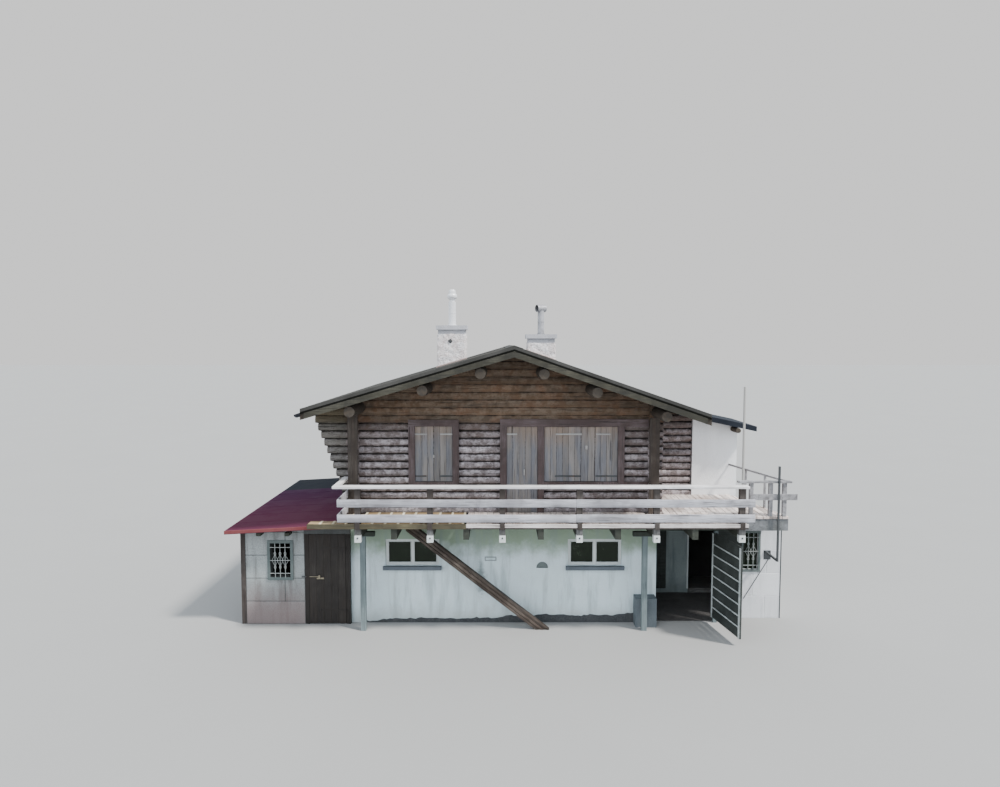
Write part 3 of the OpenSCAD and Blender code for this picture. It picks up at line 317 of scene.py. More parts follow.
def rod(sides, radius, span, turn, middle=(0, 0, 0), ends="NGON"):
    """A cylinder round that middle."""
    deselect()
    bpy.ops.mesh.primitive_cylinder_add(vertices=sides, radius=radius, depth=span, location=middle,
                                        rotation=turn, end_fill_type=ends)
    return settle(bpy.context.object)


def smooth(obj, angle=35):
    """Smooth shading up to that angle."""
    activate(obj)
    bpy.ops.object.shade_smooth_by_angle(angle=math.radians(angle))
    return obj


def roughen(obj, strength, size):
    """Pushes the surface in and out by a cloud pattern."""
    clouds = bpy.data.textures.new("Unevenness", "CLOUDS")
    clouds.noise_scale = size
    activate(obj)
    push = obj.modifiers.new("Unevenness", "DISPLACE")
    push.texture = clouds
    push.texture_coords = "LOCAL"
    push.strength = strength
    push.mid_level = 0.5
    bpy.ops.object.modifier_apply(modifier=push.name)


def dress(obj, materials, slot, *nodes, body="house"):
    """Gives a finished piece its materials and body and hides the nodes that it stands for; the slot is not
    used.
    """
    obj.data.materials.clear()
    for name in materials.split():
        obj.data.materials.append(MATERIALS[name])
    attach(obj, body)
    if nodes:
        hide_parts(*nodes)


def join(name, objects):
    """Joins the objects into one piece with its place in its mesh."""
    deselect()
    for obj in objects:
        obj.select_set(True)
    bpy.context.view_layer.objects.active = objects[0]
    if len(objects) > 1:
        bpy.ops.object.join()
    piece = bpy.context.object
    piece.name = name
    piece.data.name = name
    return settle(piece)


def set_tone(mesh, tones):
    """Stores a tone for every vertex, so that each board or stone has its own."""
    values = mesh.attributes.new("tone", "FLOAT", "POINT")
    values.data.foreach_set("value", tones)


def boards(name, pieces, edge=0.004, segments=1, rough=0.0, cuts=0, size=0.4, turn=0.0):
    """Boards or blocks in one mesh, from pairs of corners, with bevelled edges.

    turn tilts each one at random by up to so many degrees, cuts divides its long edges, and rough
    pushes its surface in and out.
    """
    deselect()
    for number, (low, high) in enumerate(pieces):
        low, high = Vector(low), Vector(high)
        middle = (low + high) / 2
        bpy.ops.mesh.primitive_cube_add(size=1, location=middle, scale=high - low)
        if number == 0:
            edit(settle(bpy.context.object))
        if turn:
            bpy.ops.transform.rotate(value=math.radians(rng.uniform(-turn, turn)), orient_axis="Y",
                                     center_override=middle)
    leave_edit()
    piece = join(name, [bpy.context.object])
    set_tone(piece.data, [tone for _ in pieces for tone in [rng.random()] * 8])
    if cuts:
        spots = piece.data.vertices
        spans = [(spots[e.vertices[0]].co - spots[e.vertices[1]].co).length for e in piece.data.edges]
        owners = [e.vertices[0] // 8 for e in piece.data.edges]
        longest = {}
        for owner, span in zip(owners, spans):
            longest[owner] = max(span, longest.get(owner, 0))
        pick(piece, "edges", lambda e: spans[e.index] > 0.9 * longest[owners[e.index]])
        divide(cuts)
        sharp = sharp_edges(piece.data)
        pick(piece, "edges", lambda e: e.index in sharp)
    else:
        edit(piece)
    bevel(edge, segments)
    if rough:
        roughen(piece, rough, size)
    return smooth(piece)


def lay(name, pieces, materials, slot, *nodes, body="house", **shape):
    """Makes boards or blocks, with what boards() takes as their shape, and dresses them."""
    dress(boards(name, pieces, **shape), materials, slot, *nodes, body=body)


def sharp_edges(mesh):
    """Numbers of the edges whose two faces meet at more than 30 degrees."""
    faces = {}
    for poly in mesh.polygons:
        for key in poly.edge_keys:
            faces.setdefault(key, []).append(poly.normal)
    found = set()
    for edge in mesh.edges:
        sides = faces.get(edge.key, [])
        if len(sides) == 2 and sides[0].angle(sides[1], 0) > math.radians(30):
            found.add(edge.index)
    return found


def master_log(rings, crown):
    """A log along X, one metre long and one in radius, its eased ends in the second slot.

    crown is 2 for a round log, and more for one with flatter faces.
    """
    if (rings, crown) in masters:
        return masters[rings, crown]
    log = rod(16, 1, 1, ALONG_X)
    log.name = f"master_log_{rings}_{crown}"
    mesh = log.data
    for vertex in mesh.vertices:
        reach = (abs(vertex.co.y) ** crown + abs(vertex.co.z) ** crown) ** (-1 / crown)
        vertex.co.y *= reach
        vertex.co.z *= reach
    pick_long(log, 0, 0.5)
    divide(rings)
    at = mesh.attributes.new("log_at", "FLOAT_VECTOR", "POINT")
    at.data.foreach_set("vector", [c for v in mesh.vertices for c in v.co])
    second = 0.5 - 1.5 / (rings + 1)
    for inner, outer, size in ((0.499, 0.6, 0.86), (second, 0.499, 0.965)):
        pick(log, "vertices", lambda v: inner < abs(v.co.x) < outer)
        bpy.ops.transform.resize(value=(1, size, size), center_override=(0, 0, 0))
    leave_edit()
    mesh.materials.append(None)
    mesh.materials.append(None)
    for poly in mesh.polygons:
        poly.material_index = 1 if abs(poly.normal.x) > 0.9 else 0
    masters[rings, crown] = log
    return log


def logs(name, runs, rough=0.018, size=0.3, crown=None, flat=0.9, ring=0.08):
    """Logs in one mesh. A run is (axis, start, end, across, height, radius).

    Wall logs are round below HEWN_Z and hewn flatter above it, unless a crown is given.
    """
    copies = []
    for axis, start, end, across, height, radius in runs:
        span = end - start
        shape = crown or (4.5 if height > HEWN_Z else 2.7)
        master = master_log(max(4, min(110, round(span / ring))), shape)
        log = master.copy()
        log.data = master.data.copy()
        bpy.context.collection.objects.link(log)
        radius *= rng.uniform(0.97, 1.03)
        log.scale = (span, radius, radius * flat)
        if axis == "x":
            log.location = ((start + end) / 2, across, height)
        else:
            log.location = (across, (start + end) / 2, height)
            log.rotation_euler = (0, 0, math.pi / 2)
        set_tone(log.data, [rng.random()] * len(log.data.vertices))
        copies.append(log)
    piece = join(name, copies)
    roughen(piece, rough, size)
    roughen(piece, rough * 0.7, size * 0.27)
    return smooth(piece, 50)


def cut(obj, point, normal):
    """Cuts the mesh off where the normal points, and closes it."""
    edit(obj)
    bpy.ops.mesh.bisect(plane_co=point, plane_no=normal, use_fill=True, clear_outer=True)
    leave_edit()


def follow(piece, height, lift=0.0):
    """Lays a level piece on a slope."""
    for vertex in piece.data.vertices:
        vertex.co.z += height(vertex.co.x) + lift
    return piece


# Shader helpers


class Shader:
    """A node tree with short calls that add and link nodes."""

    def __init__(self, tree):
        self.tree = tree

    def put(self, kind, sockets=None, **settings):
        node = self.tree.nodes.new(kind)
        for key, value in settings.items():
            setattr(node, key, value)
        for key, value in (sockets or {}).items():
            if isinstance(value, bpy.types.NodeSocket):
                self.tree.links.new(value, node.inputs[key])
            else:
                node.inputs[key].default_value = value
        return node

    def place(self):
        """The object's own coordinates."""
        return self.put("ShaderNodeTexCoord").outputs["Object"]

    def split(self, vector):
        return self.put("ShaderNodeSeparateXYZ", {0: vector}).outputs

    def join(self, *parts):
        return self.put("ShaderNodeCombineXYZ", dict(enumerate(parts))).outputs[0]

    def turn(self, vector, scale=(1, 1, 1), rotation=(0, 0, 0), location=(0, 0, 0)):
        return self.put("ShaderNodeMapping", {"Vector": vector, "Scale": scale, "Rotation": rotation,
                                              "Location": location}).outputs[0]

    def vector(self, operation, *values):
        return self.put("ShaderNodeVectorMath", dict(enumerate(values)), operation=operation).outputs

    def calc(self, operation, *values, clamp=False):
        return self.put("ShaderNodeMath", dict(enumerate(values)), operation=operation,
                        use_clamp=clamp).outputs[0]

    def times(self, first, second):
        return self.calc("MULTIPLY", first, second)

    def plus(self, first, second):
        return self.calc("ADD", first, second)

    def minus(self, first, second):
        return self.calc("SUBTRACT", first, second)

    def past(self, axis, limit):
        """1 beyond a limit along X, 0, or Z, 2, and 0 before it."""
        return self.calc("GREATER_THAN", self.split(self.place())[axis], limit)

    def level(self, value, low, high, first=0.0, last=1.0):
        return self.put("ShaderNodeMapRange", {0: value, 1: low, 2: high, 3: first, 4: last},
                        interpolation_type="SMOOTHSTEP").outputs[0]

    def noise(self, vector, scale, detail=4.0, rough=0.55, distortion=0.0):
        return self.put("ShaderNodeTexNoise", {"Vector": vector, "Scale": scale, "Detail": detail,
                                               "Roughness": rough, "Distortion": distortion}).outputs[0]

    def mix(self, factor, first, second, kind="MIX"):
        return self.put("ShaderNodeMix", {"Factor": factor, 6: colour(first), 7: colour(second)},
                        data_type="RGBA", blend_type=kind).outputs[2]

    def over(self, base, mask, share, tint):
        """The base with a tint over it where the mask is, by that share."""
        return self.mix(self.times(mask, share), base, tint)

    def shade(self, base, value, low=0.6, high=1.3):
        """Darkens and lightens a colour by a value from 0 to 1."""
        grey = self.put("ShaderNodeMapRange", {0: value, 3: low, 4: high}).outputs[0]
        return self.mix(1.0, base, self.put("ShaderNodeCombineColor",
                                            {0: grey, 1: grey, 2: grey}).outputs[0], "MULTIPLY")

    def stored(self, name):
        return self.put("ShaderNodeAttribute", attribute_name=name).outputs

    def tone(self):
        return self.stored("tone")["Fac"]

    def scatter(self, vector, reach):
        """The vector moved by the tone, so that no two boards have the same grain."""
        shift = self.times(self.tone(), reach)
        return self.vector("ADD", vector, self.join(shift, shift, shift))[0]

    def group(self, name, vector, **more):
        return self.put("ShaderNodeGroup", {"Vector": vector, **more}, node_tree=GROUPS[name]).outputs

    def give(self, leave, *values):
        """Links the values to what the node group puts out."""
        for value, socket in zip(values, leave):
            self.tree.links.new(value, socket)

    def finish(self, base, rough=0.8, height=None, distance=0.004, **fixed):
        """The surface shader, with bump from a height where one is given."""
        surface = self.put("ShaderNodeBsdfPrincipled", {"Base Color": colour(base), "Roughness": rough})
        for key, value in fixed.items():
            surface.inputs[key.replace("_", " ")].default_value = value
        if height is not None:
            bump = self.put("ShaderNodeBump", {"Height": height, "Strength": 0.8, "Distance": distance})
            self.tree.links.new(bump.outputs[0], surface.inputs["Normal"])
        out = self.put("ShaderNodeOutputMaterial")
        self.tree.links.new(surface.outputs[0], out.inputs[0])


def colour(value):
    """A colour with its fourth number, or a socket as it is."""
    if isinstance(value, bpy.types.NodeSocket) or len(value) == 4:
        return value
    return (*value, 1.0)


def new_material(name):
    """Adds an empty material to MATERIALS and gives the shader that fills it."""
    made = MATERIALS[name] = bpy.data.materials.new(name)
    made.use_nodes = True
    made.node_tree.nodes.clear()
    return Shader(made.node_tree)


def new_group(key, name, masks, width=None):
    """Adds a node group to GROUPS, from a vector, and a width where one is given, to masks."""
    tree = GROUPS[key] = bpy.data.node_groups.new(name, "ShaderNodeTree")
    tree.interface.new_socket("Vector", in_out="INPUT", socket_type="NodeSocketVector")
    if width:
        socket = tree.interface.new_socket("Width", in_out="INPUT", socket_type="NodeSocketFloat")
        socket.default_value = width
    for label in masks:
        tree.interface.new_socket(label, in_out="OUTPUT", socket_type="NodeSocketFloat")
    s = Shader(tree)
    return s, s.put("NodeGroupInput").outputs, s.put("NodeGroupOutput").inputs


def grain_group():
    """Wood grain along Z of the vector that it is given: broad streaks, fibres and cracks."""
    s, entry, leave = new_group("grain", "Wood grain", ("Streaks", "Fibres", "Cracks"))
    broad = s.turn(entry["Vector"], scale=(1, 1, 0.07))
    fine = s.turn(entry["Vector"], scale=(1, 1, 0.03))
    s.give(leave, s.level(s.noise(broad, 9, 6, 0.6, 0.4), 0.3, 0.7),
           s.level(s.noise(fine, 95, 4, 0.65), 0.3, 0.72),
           s.level(s.noise(fine, 38, 3, 0.5, 0.3), 0.63, 0.7))


def stain_group():
    """Weather on masonry and sheet: blotches, marks that run down, and fine specks."""
    s, entry, leave = new_group("stains", "Weather stains", ("Blotches", "Drips", "Specks"))
    run = s.turn(entry["Vector"], scale=(1, 1, 0.13))
    s.give(leave, s.level(s.noise(entry["Vector"], 1.6, 9, 0.62, 0.3), 0.36, 0.68),
           s.level(s.noise(run, 5.5, 7, 0.6, 0.15), 0.45, 0.72),
           s.level(s.noise(entry["Vector"], 46, 6, 0.6), 0.42, 0.66))


def wear_group():
    """A mask of the edges, broken up by noise."""
    s, entry, leave = new_group("wear", "Edge wear", ("Edges",), 0.01)
    rounded = s.put("ShaderNodeBevel", {"Radius": entry["Width"]}, samples=4).outputs[0]
    flat = s.put("ShaderNodeNewGeometry").outputs["Normal"]
    edge = s.level(s.vector("DOT_PRODUCT", rounded, flat)["Value"], 0.995, 0.86)
    broken = s.level(s.noise(entry["Vector"], 22, 5, 0.6), 0.35, 0.6)
    s.give(leave, s.times(edge, broken))


def grain_axes(s, along):
    """The object's coordinates turned so that the grain runs along Z."""
    place = s.place()
    if along == "z":
        return place
    parts = s.split(place)
    return s.join(*(parts[number] for number in {"x": (1, 2, 0), "y": (0, 2, 1)}[along]))


def timber(name, dark, mid, light, along, weather, tone=None, tilt=None, upper=None, heads=None,
           beyond=None):
    """Weathered wood: streaks between two browns, pale fibres, cracks and worn edges.

    tone is how dark and how light single boards are, upper gives it another colour above a height
    (painted shade on the posts under the deck), beyond gives it another one right of a place along X,
    and the grain runs along X above heads.
    """
    s = new_material(name)
    vector = s.turn(s.place(), rotation=tilt) if tilt else grain_axes(s, along)
    if heads:
        vector = s.put("ShaderNodeMix", {0: s.past(2, heads), 4: vector, 5: grain_axes(s, "x")},
                       data_type="VECTOR").outputs[1]
    if tone:
        vector = s.scatter(vector, 37.0)
    grain = s.group("grain", vector)
    stains = s.group("stains", s.place())
    edges = s.group("wear", s.place(), Width=0.012)["Edges"]
    base = s.mix(grain["Streaks"], dark, mid)
    if beyond:
        base = s.mix(s.past(0, beyond[0]), base, s.shade(beyond[1], grain["Streaks"], 0.6, 1.15))
    pale = s.times(grain["Fibres"], stains["Blotches"])
    base = s.mix(s.calc("MULTIPLY", pale, 2 * weather, clamp=True), base, light)
    base = s.over(base, edges, 0.5, light)
    base = s.over(base, grain["Cracks"], 0.75, [c * 0.35 for c in dark])
    if tone:
        base = s.shade(base, s.tone(), *tone)
    # Above that height, painted shade where it is given
    if upper:
        base = s.mix(s.past(2, upper[0]), base, upper[1])
    height = s.minus(s.times(grain["Fibres"], 0.5), grain["Cracks"])
    s.finish(base, s.level(grain["Streaks"], 0, 1, 0.72, 0.88), height)


def log_skin():
    """Wall logs: dark ragged joints, brown faces under the roof, silvery rough ones below, paler on top with
    painted highlight.
    """
    look = bpy.context.scene.chalet_colours
    s = new_material("log_skin")
    at = s.split(s.stored("log_at")["Vector"])
    place = s.place()
    parts = s.split(place)
    tone = s.tone()
    flow = s.join(parts[2], s.times(tone, 41.0), s.plus(parts[0], parts[1]))
    grain = s.group("grain", flow)
    long_way = s.turn(place, scale=(0.4, 0.4, 1))
    ragged = s.minus(s.noise(long_way, 24, 6, 0.65), 0.5)
    hewn = s.level(parts[2], HEWN_Z - 0.08, HEWN_Z + 0.06)
    edge = s.plus(s.calc("ABSOLUTE", at[2]), s.times(ragged, 0.55))
    joint = s.level(s.minus(edge, s.times(hewn, 0.13)), 0.64, 0.84)
    flecks = s.level(s.noise(long_way, 62, 5, 0.6), 0.5, 0.63)
    patches = s.level(s.noise(long_way, 7, 6, 0.6), 0.3, 0.56, 0.55, 1.0)
    # Upper half of each lower log paler: painted highlight, mixed into the silvery weathering
    lit = s.level(s.plus(at[2], ragged), -0.85, 0.3, 0.45, 1.0)
    aside = s.calc("ABSOLUTE", s.plus(parts[0], 0.6))
    zone = s.times(s.level(parts[2], 4.55, 3.8, 0.2, 1.0), s.level(aside, 1.2, 3.2, 1.0, 0.62))
    bare = s.times(s.times(lit, patches), zone)
    base = s.mix(grain["Streaks"], look.log_dark, look.log_brown)
    reddish = s.level(s.noise(flow, 2.6, 4), 0.46, 0.66, 0, 0.8)
    base = s.over(base, reddish, s.level(hewn, 0, 1, 0.4, 1.0), look.log_red)
    silver = s.mix(s.level(s.noise(place, 9, 5), 0.4, 0.62), look.log_silver, look.log_grey)
    base = s.mix(bare, base, silver)
    base = s.over(base, s.level(parts[0], -3.42, -3.5), 0.7, look.log_tail)
    base = s.over(base, flecks, s.minus(0.62, s.times(hewn, 0.3)), look.log_dark)
    base = s.over(base, grain["Fibres"], 0.2, look.log_grey)
    base = s.shade(base, tone, 0.74, 1.25)
    base = s.mix(hewn, base, (0.92, 0.8, 0.58), "MULTIPLY")
    base = s.over(base, grain["Cracks"], 0.75, look.log_joint)
    base = s.over(base, joint, 0.95, look.log_joint)
    deep = s.plus(s.times(flecks, 0.7), s.plus(grain["Cracks"], joint))
    height = s.minus(s.times(grain["Fibres"], 0.3), deep)
    s.finish(base, s.level(grain["Streaks"], 0, 1, 0.75, 0.9), height, 0.009)


def log_end():
    """Sawn log ends: rings, cracks from the heart and a grey skin."""
    look = bpy.context.scene.chalet_colours
    s = new_material("log_end")
    parts = s.split(s.stored("log_at")["Vector"])
    flat = s.join(parts[1], parts[2])
    wobble = s.noise(flat, 2.5, 3, 0.5)
    radius = s.vector("LENGTH", flat)["Value"]
    rings = s.calc("SINE", s.times(s.plus(radius, s.times(wobble, 0.25)), 46.0))
    ray = s.join(s.calc("ARCTAN2", parts[1], parts[2]), s.times(radius, 0.4))
    crack = s.level(s.noise(ray, 2.6, 4, 0.6), 0.6, 0.68)
    base = s.mix(s.level(rings, -1, 1, 0, 0.6), look.log_end, look.log_brown)
    base = s.mix(s.noise(flat, 3, 6, 0.6), base, look.log_silver)
    base = s.over(base, crack, 0.85, look.log_joint)
    base = s.mix(s.level(radius, 0.82, 1.0, 0, 0.7), base, look.log_dark)
    base = s.shade(base, s.tone(), 0.75, 1.15)
    s.finish(base, 0.85, s.minus(s.times(rings, 0.1), crack), 0.006)


def shutter_grey():
    """Upright boards gone grey: bluish and brown patches, pale fibres and dark lines."""
    look = bpy.context.scene.chalet_colours
    s = new_material("shutter_grey")
    place = s.place()
    own = s.scatter(place, 23.0)
    grain = s.group("grain", own)
    blue = s.level(s.noise(s.turn(own, scale=(1, 1, 0.15)), 6, 4), 0.42, 0.6)
    base = s.mix(blue, look.shutter_grey, look.shutter_blue)
    high = s.plus(s.split(place)[2], s.noise(s.turn(place, scale=(1, 1, 0.6)), 2.4, 4))
    base = s.over(base, s.level(high, 4.35, 5.0), 0.8, look.shutter_brown)
    base = s.over(base, grain["Fibres"], 0.35, (0.33, 0.32, 0.33))
    base = s.shade(base, grain["Streaks"], 0.84, 1.14)
    base = s.shade(base, s.tone(), 0.88, 1.1)
    base = s.over(base, grain["Cracks"], 0.8, (0.04, 0.034, 0.03))
    s.finish(base, 0.85, s.minus(s.times(grain["Fibres"], 0.5), grain["Cracks"]))


def stack_roughcast():
    """Whitened rubble: stones that show through a rough coat, with pinkish and grey patches."""
    s = new_material("stack_roughcast")
    place = s.place()
    stains = s.group("stains", place)
    swirl = s.put("ShaderNodeTexNoise", {"Vector": place, "Scale": 4.0}).outputs["Color"]
    warped = s.vector("ADD", place, swirl)[0]
    stones = s.put("ShaderNodeTexVoronoi", {"Vector": warped, "Scale": 6.0},
                   feature="DISTANCE_TO_EDGE").outputs["Distance"]
    joints = s.level(stones, 0.1, 0.02)
    base = s.mix(s.level(s.noise(place, 6, 6), 0.4, 0.62), (0.96, 0.94, 0.95), (0.86, 0.78, 0.77))
    base = s.over(base, stains["Specks"], 0.3, (0.42, 0.37, 0.36))
    base = s.over(base, joints, 0.35, (0.55, 0.47, 0.45))
    base = s.over(base, stains["Drips"], 0.25, (0.5, 0.5, 0.52))
    s.finish(base, 0.9, s.minus(s.noise(place, 60, 5), joints), 0.012)


def masonry(name, base, second, stain, drip, blotch, speck, rough=0.85, bump=0.004, green=None,
            foot=None, streak=None, inside=None):
    """Render, blocks or concrete, with blotches, marks that run down and fine grit.

    green and foot tint it above and below two heights, streak darkens a spot of the front wall, and
    inside darkens it within (right x, front y, rear y), where it faces an unlit room.
    """
    s = new_material(name)
    place = s.place()
    parts = s.split(place)
    stains = s.group("stains", place)
    tint = s.mix(s.noise(place, 0.9, 5, 0.6), base, second)
    tint = s.over(tint, stains["Blotches"], blotch, second)
    if green:
        # Greener and darker towards the top of the wall
        top_reach = s.plus(parts[2], s.times(s.noise(place, 3.2, 6, 0.6), 0.7))
        tint = s.mix(s.level(top_reach, green[0], green[1], 0, 0.75), tint, green[2])
    tint = s.over(tint, stains["Drips"], drip, stain)
    tint = s.over(tint, stains["Specks"], speck, stain)
    if foot:
        low = s.plus(parts[2], s.times(s.noise(place, 4, 7, 0.65), 0.5))
        tint = s.mix(s.level(low, foot[0], foot[1], 0.8, 0), tint, foot[2])
    if streak:
        middle_x, middle_z, half_x, half_z, dark = streak
        near = s.turn(place, scale=(1 / half_x, 1, 1 / half_z),
                      location=(-middle_x / half_x, -FRONT, -middle_z / half_z))
        torn = s.plus(s.vector("LENGTH", near)["Value"], s.times(s.noise(place, 9, 7, 0.65), 1.6))
        tint = s.mix(s.level(torn, 1.5, 0.9, 0, 0.75), tint, dark)
    if inside:
        deep = s.times(s.calc("GREATER_THAN", parts[1], inside[1]), s.calc("LESS_THAN", parts[1], inside[2]))
        room = s.times(s.calc("LESS_THAN", parts[0], inside[0]), deep)
        tint = s.mix(room, tint, (0.02, 0.018, 0.018))
    if name in TONED:
        tint = s.shade(tint, s.tone(), 0.88, 1.08)
    height = s.plus(s.times(s.noise(place, 130, 5, 0.6), 0.35), s.times(stains["Specks"], 0.6))
    s.finish(tint, s.level(stains["Blotches"], 0, 1, rough - 0.08, min(1.0, rough + 0.06)), height, bump)


def sheet(name, base, worn, rough=0.45, metallic=0.0, dust=0.4, sheen=0.5, rust=None, back=None,
          pale=None):
    """Painted or bare sheet metal with dust, run marks and worn edges.

    back tints it from front to back, and pale turns it pale left of an x and above a z.
    """
    s = new_material(name)
    place = s.place()
    parts = s.split(place)
    stains = s.group("stains", place)
    edges = s.group("wear", place, Width=0.008)["Edges"]
    tint = s.over(base, stains["Blotches"], dust, worn)
    tint = s.over(tint, stains["Specks"], 0.25, [c * 0.6 for c in base])
    tint = s.over(tint, edges, 0.7, worn)
    if rust:
        tint = s.over(tint, s.level(s.noise(place, 7, 8, 0.68), 0.56, 0.66), 0.8, rust)
    if back:
        tint = s.mix(s.level(parts[1], back[0], back[1]), tint, back[2])
    if pale:
        upper = s.times(s.level(parts[0], pale[0], pale[0] - 0.1), s.level(parts[2], pale[1], pale[1] + 0.5))
        tint = s.mix(upper, tint, pale[2])
    shine = s.level(stains["Blotches"], 0, 1, rough, min(1.0, rough + 0.25))
    s.finish(tint, shine, s.noise(place, 9, 5, 0.6), 0.0015, Metallic=metallic, Specular_IOR_Level=sheen)


def window_glass():
    """Dusty window glass that looks into a dark room."""
    s = new_material("window_glass")
    dust = s.noise(s.place(), 6, 7, 0.65)
    base = s.mix(s.level(dust, 0.5, 0.75, 0, 0.4), (0.006, 0.014, 0.005), (0.05, 0.07, 0.045))
    s.finish(base, s.level(dust, 0.4, 0.7, 0.05, 0.3), None, Transmission_Weight=0.2, IOR=1.33)


def from_table(value):
    """A colour from its thousandths or from the user's by its name, and other values as they are."""
    if isinstance(value, str):
        return getattr(bpy.context.scene.chalet_colours, value, value)
    if isinstance(value, tuple) and len(value) == 3:
        return [number / 1000 for number in value]
    return value


def hue(name, text, value):
    """A colour that the user can change."""
    return bpy.props.FloatVectorProperty(name=name, description=text, default=value, subtype="COLOR",
                                         size=3, min=0.0, max=1.0)


def length(name, text, value):
    """A length that the user can change."""
    return bpy.props.FloatProperty(name=name, description=text, default=value, min=0.0, unit="LENGTH")


class ChaletColours(bpy.types.PropertyGroup):
    """Colours of the chalet's finishes."""

    log_joint: hue("Log joints", "Dark gaps between the logs", (0.014, 0.009, 0.007))
    log_dark: hue("Dark logs", "Dark streaks of the logs", (0.028, 0.018, 0.011))
    log_brown: hue("Brown logs", "Brown faces of the logs", (0.09, 0.055, 0.036))
    log_red: hue("Reddish logs", "Reddish stretches of the logs", (0.1, 0.045, 0.022))
    log_silver: hue("Silvery logs", "Weathered faces of the lower logs", (0.62, 0.565, 0.6))
    log_grey: hue("Grey logs", "Greyer stretches of the lower logs", (0.27, 0.232, 0.238))
    log_tail: hue("Log tails", "Grey green tails of the logs at the left", (0.115, 0.118, 0.1))
    log_end: hue("Log ends", "Sawn ends of the logs and purlins", (0.19, 0.178, 0.15))
    casing: hue("Casings", "Frames of the upper windows and door", (0.078, 0.052, 0.05))
    shutter_grey: hue("Shutters", "Grey of the shutters' boards", (0.18, 0.164, 0.153))
    shutter_blue: hue("Bluish shutters", "Bluish streaks of the shutters", (0.13, 0.133, 0.152))
    shutter_brown: hue("Brown shutters", "Brown patches of the shutters", (0.22, 0.15, 0.1))
    rail: hue("Railing", "Silvery boards of the railing", (0.38, 0.38, 0.42))
    deck: hue("Deck", "Pale planks of the balcony", (0.66, 0.57, 0.53))
    render: hue("Render", "Pale render of the ground storey", (0.74, 0.88, 0.95))
    blocks: hue("Blocks", "Painted blocks of the left store", (0.37, 0.42, 0.425))
    maroon: hue("Maroon sheet", "Roof of the left store", (0.085, 0.02, 0.042))


class ChaletSizes(bpy.types.PropertyGroup):
    """Sizes of the small pieces."""

    shutter_board: length("Shutter board", "Width of one board of a shutter or door", 0.135)
    deck_board: length("Deck plank", "Width of one plank of the deck", 0.14)
    board_gap: length("Gap", "Gap between boards that lie side by side", 0.004)
    seam_pitch: length("Roof seams", "Distance between the seams of the sheets", 0.62)
    block_height: length("Block height", "Height of one course of the stores' blocks", 0.52)


class CHALET_OT_finishes(bpy.types.Operator):
    """Make the finishes and give each node of the frame its own"""

    bl_idname = "chalet.finishes"
    bl_label = "Finishes"

    def execute(self, context):
        for build in (grain_group, stain_group, wear_group, log_skin, log_end, shutter_grey,
                      stack_roughcast, window_glass):
            build()
        casing = context.scene.chalet_colours.casing
        timber("casing_paint", [c * 0.55 for c in casing], casing, (0.15, 0.115, 0.12), "z", 0.6,
               heads=CASING_HEAD)
        for make, rows in ((timber, WOODS), (masonry, MASONRY), (sheet, SHEETS)):
            for name, row in rows.items():
                make(name, *map(from_table, row), **EXTRA.get(name, {}))
        for finish, nodes in PAINTED.items():
            for node in nodes.split():
                slots = NODES[node].data.materials
                if not slots:
                    slots.append(None)
                for number in range(len(slots)):
                    slots[number] = MATERIALS[finish]
        return {"FINISHED"}


# Openings in the front logs: left, right, bottom and top
OPENINGS = ((-2.096, -0.984, 3.095, 4.558), (-0.08, 0.892, 2.44, 4.41), (0.892, 2.66, 3.095, 4.41))


def free_runs(start, end, height):
    """Stretches of one course of the front wall beside its openings."""
    runs = [(start, end)]
    for left, right, low, high in OPENINGS:
        if low < height < high:
            runs = [piece for a, b in runs
                    for piece in ((a, min(b, left)), (max(a, right), b)) if piece[1] - piece[0] > 0.02]
    return runs


def corbel(height):
    """Reach of a left log end beyond the wall."""
    return LOG_TAIL + 0.06 + max(0.0, height - CORBEL_Z) * CORBEL_RISE


def cut_slope(piece, x, z, pitch):
    """Cuts a piece along a slope that passes x and z and falls away by pitch."""
    cut(piece, (x, 0, z), (math.sin(pitch), 0, math.cos(pitch)))


def under_roof(piece):
    """Cuts logs along the underside of both slopes and at the floor."""
    cut_slope(piece, RIDGE_X, left_z(RIDGE_X, ROOF_T), -PITCH_L)
    cut_slope(piece, RIDGE_X, right_z(RIDGE_X, ROOF_T), PITCH_R)
    cut(piece, (0, 0, LOG_Z), (0, 0, -1))


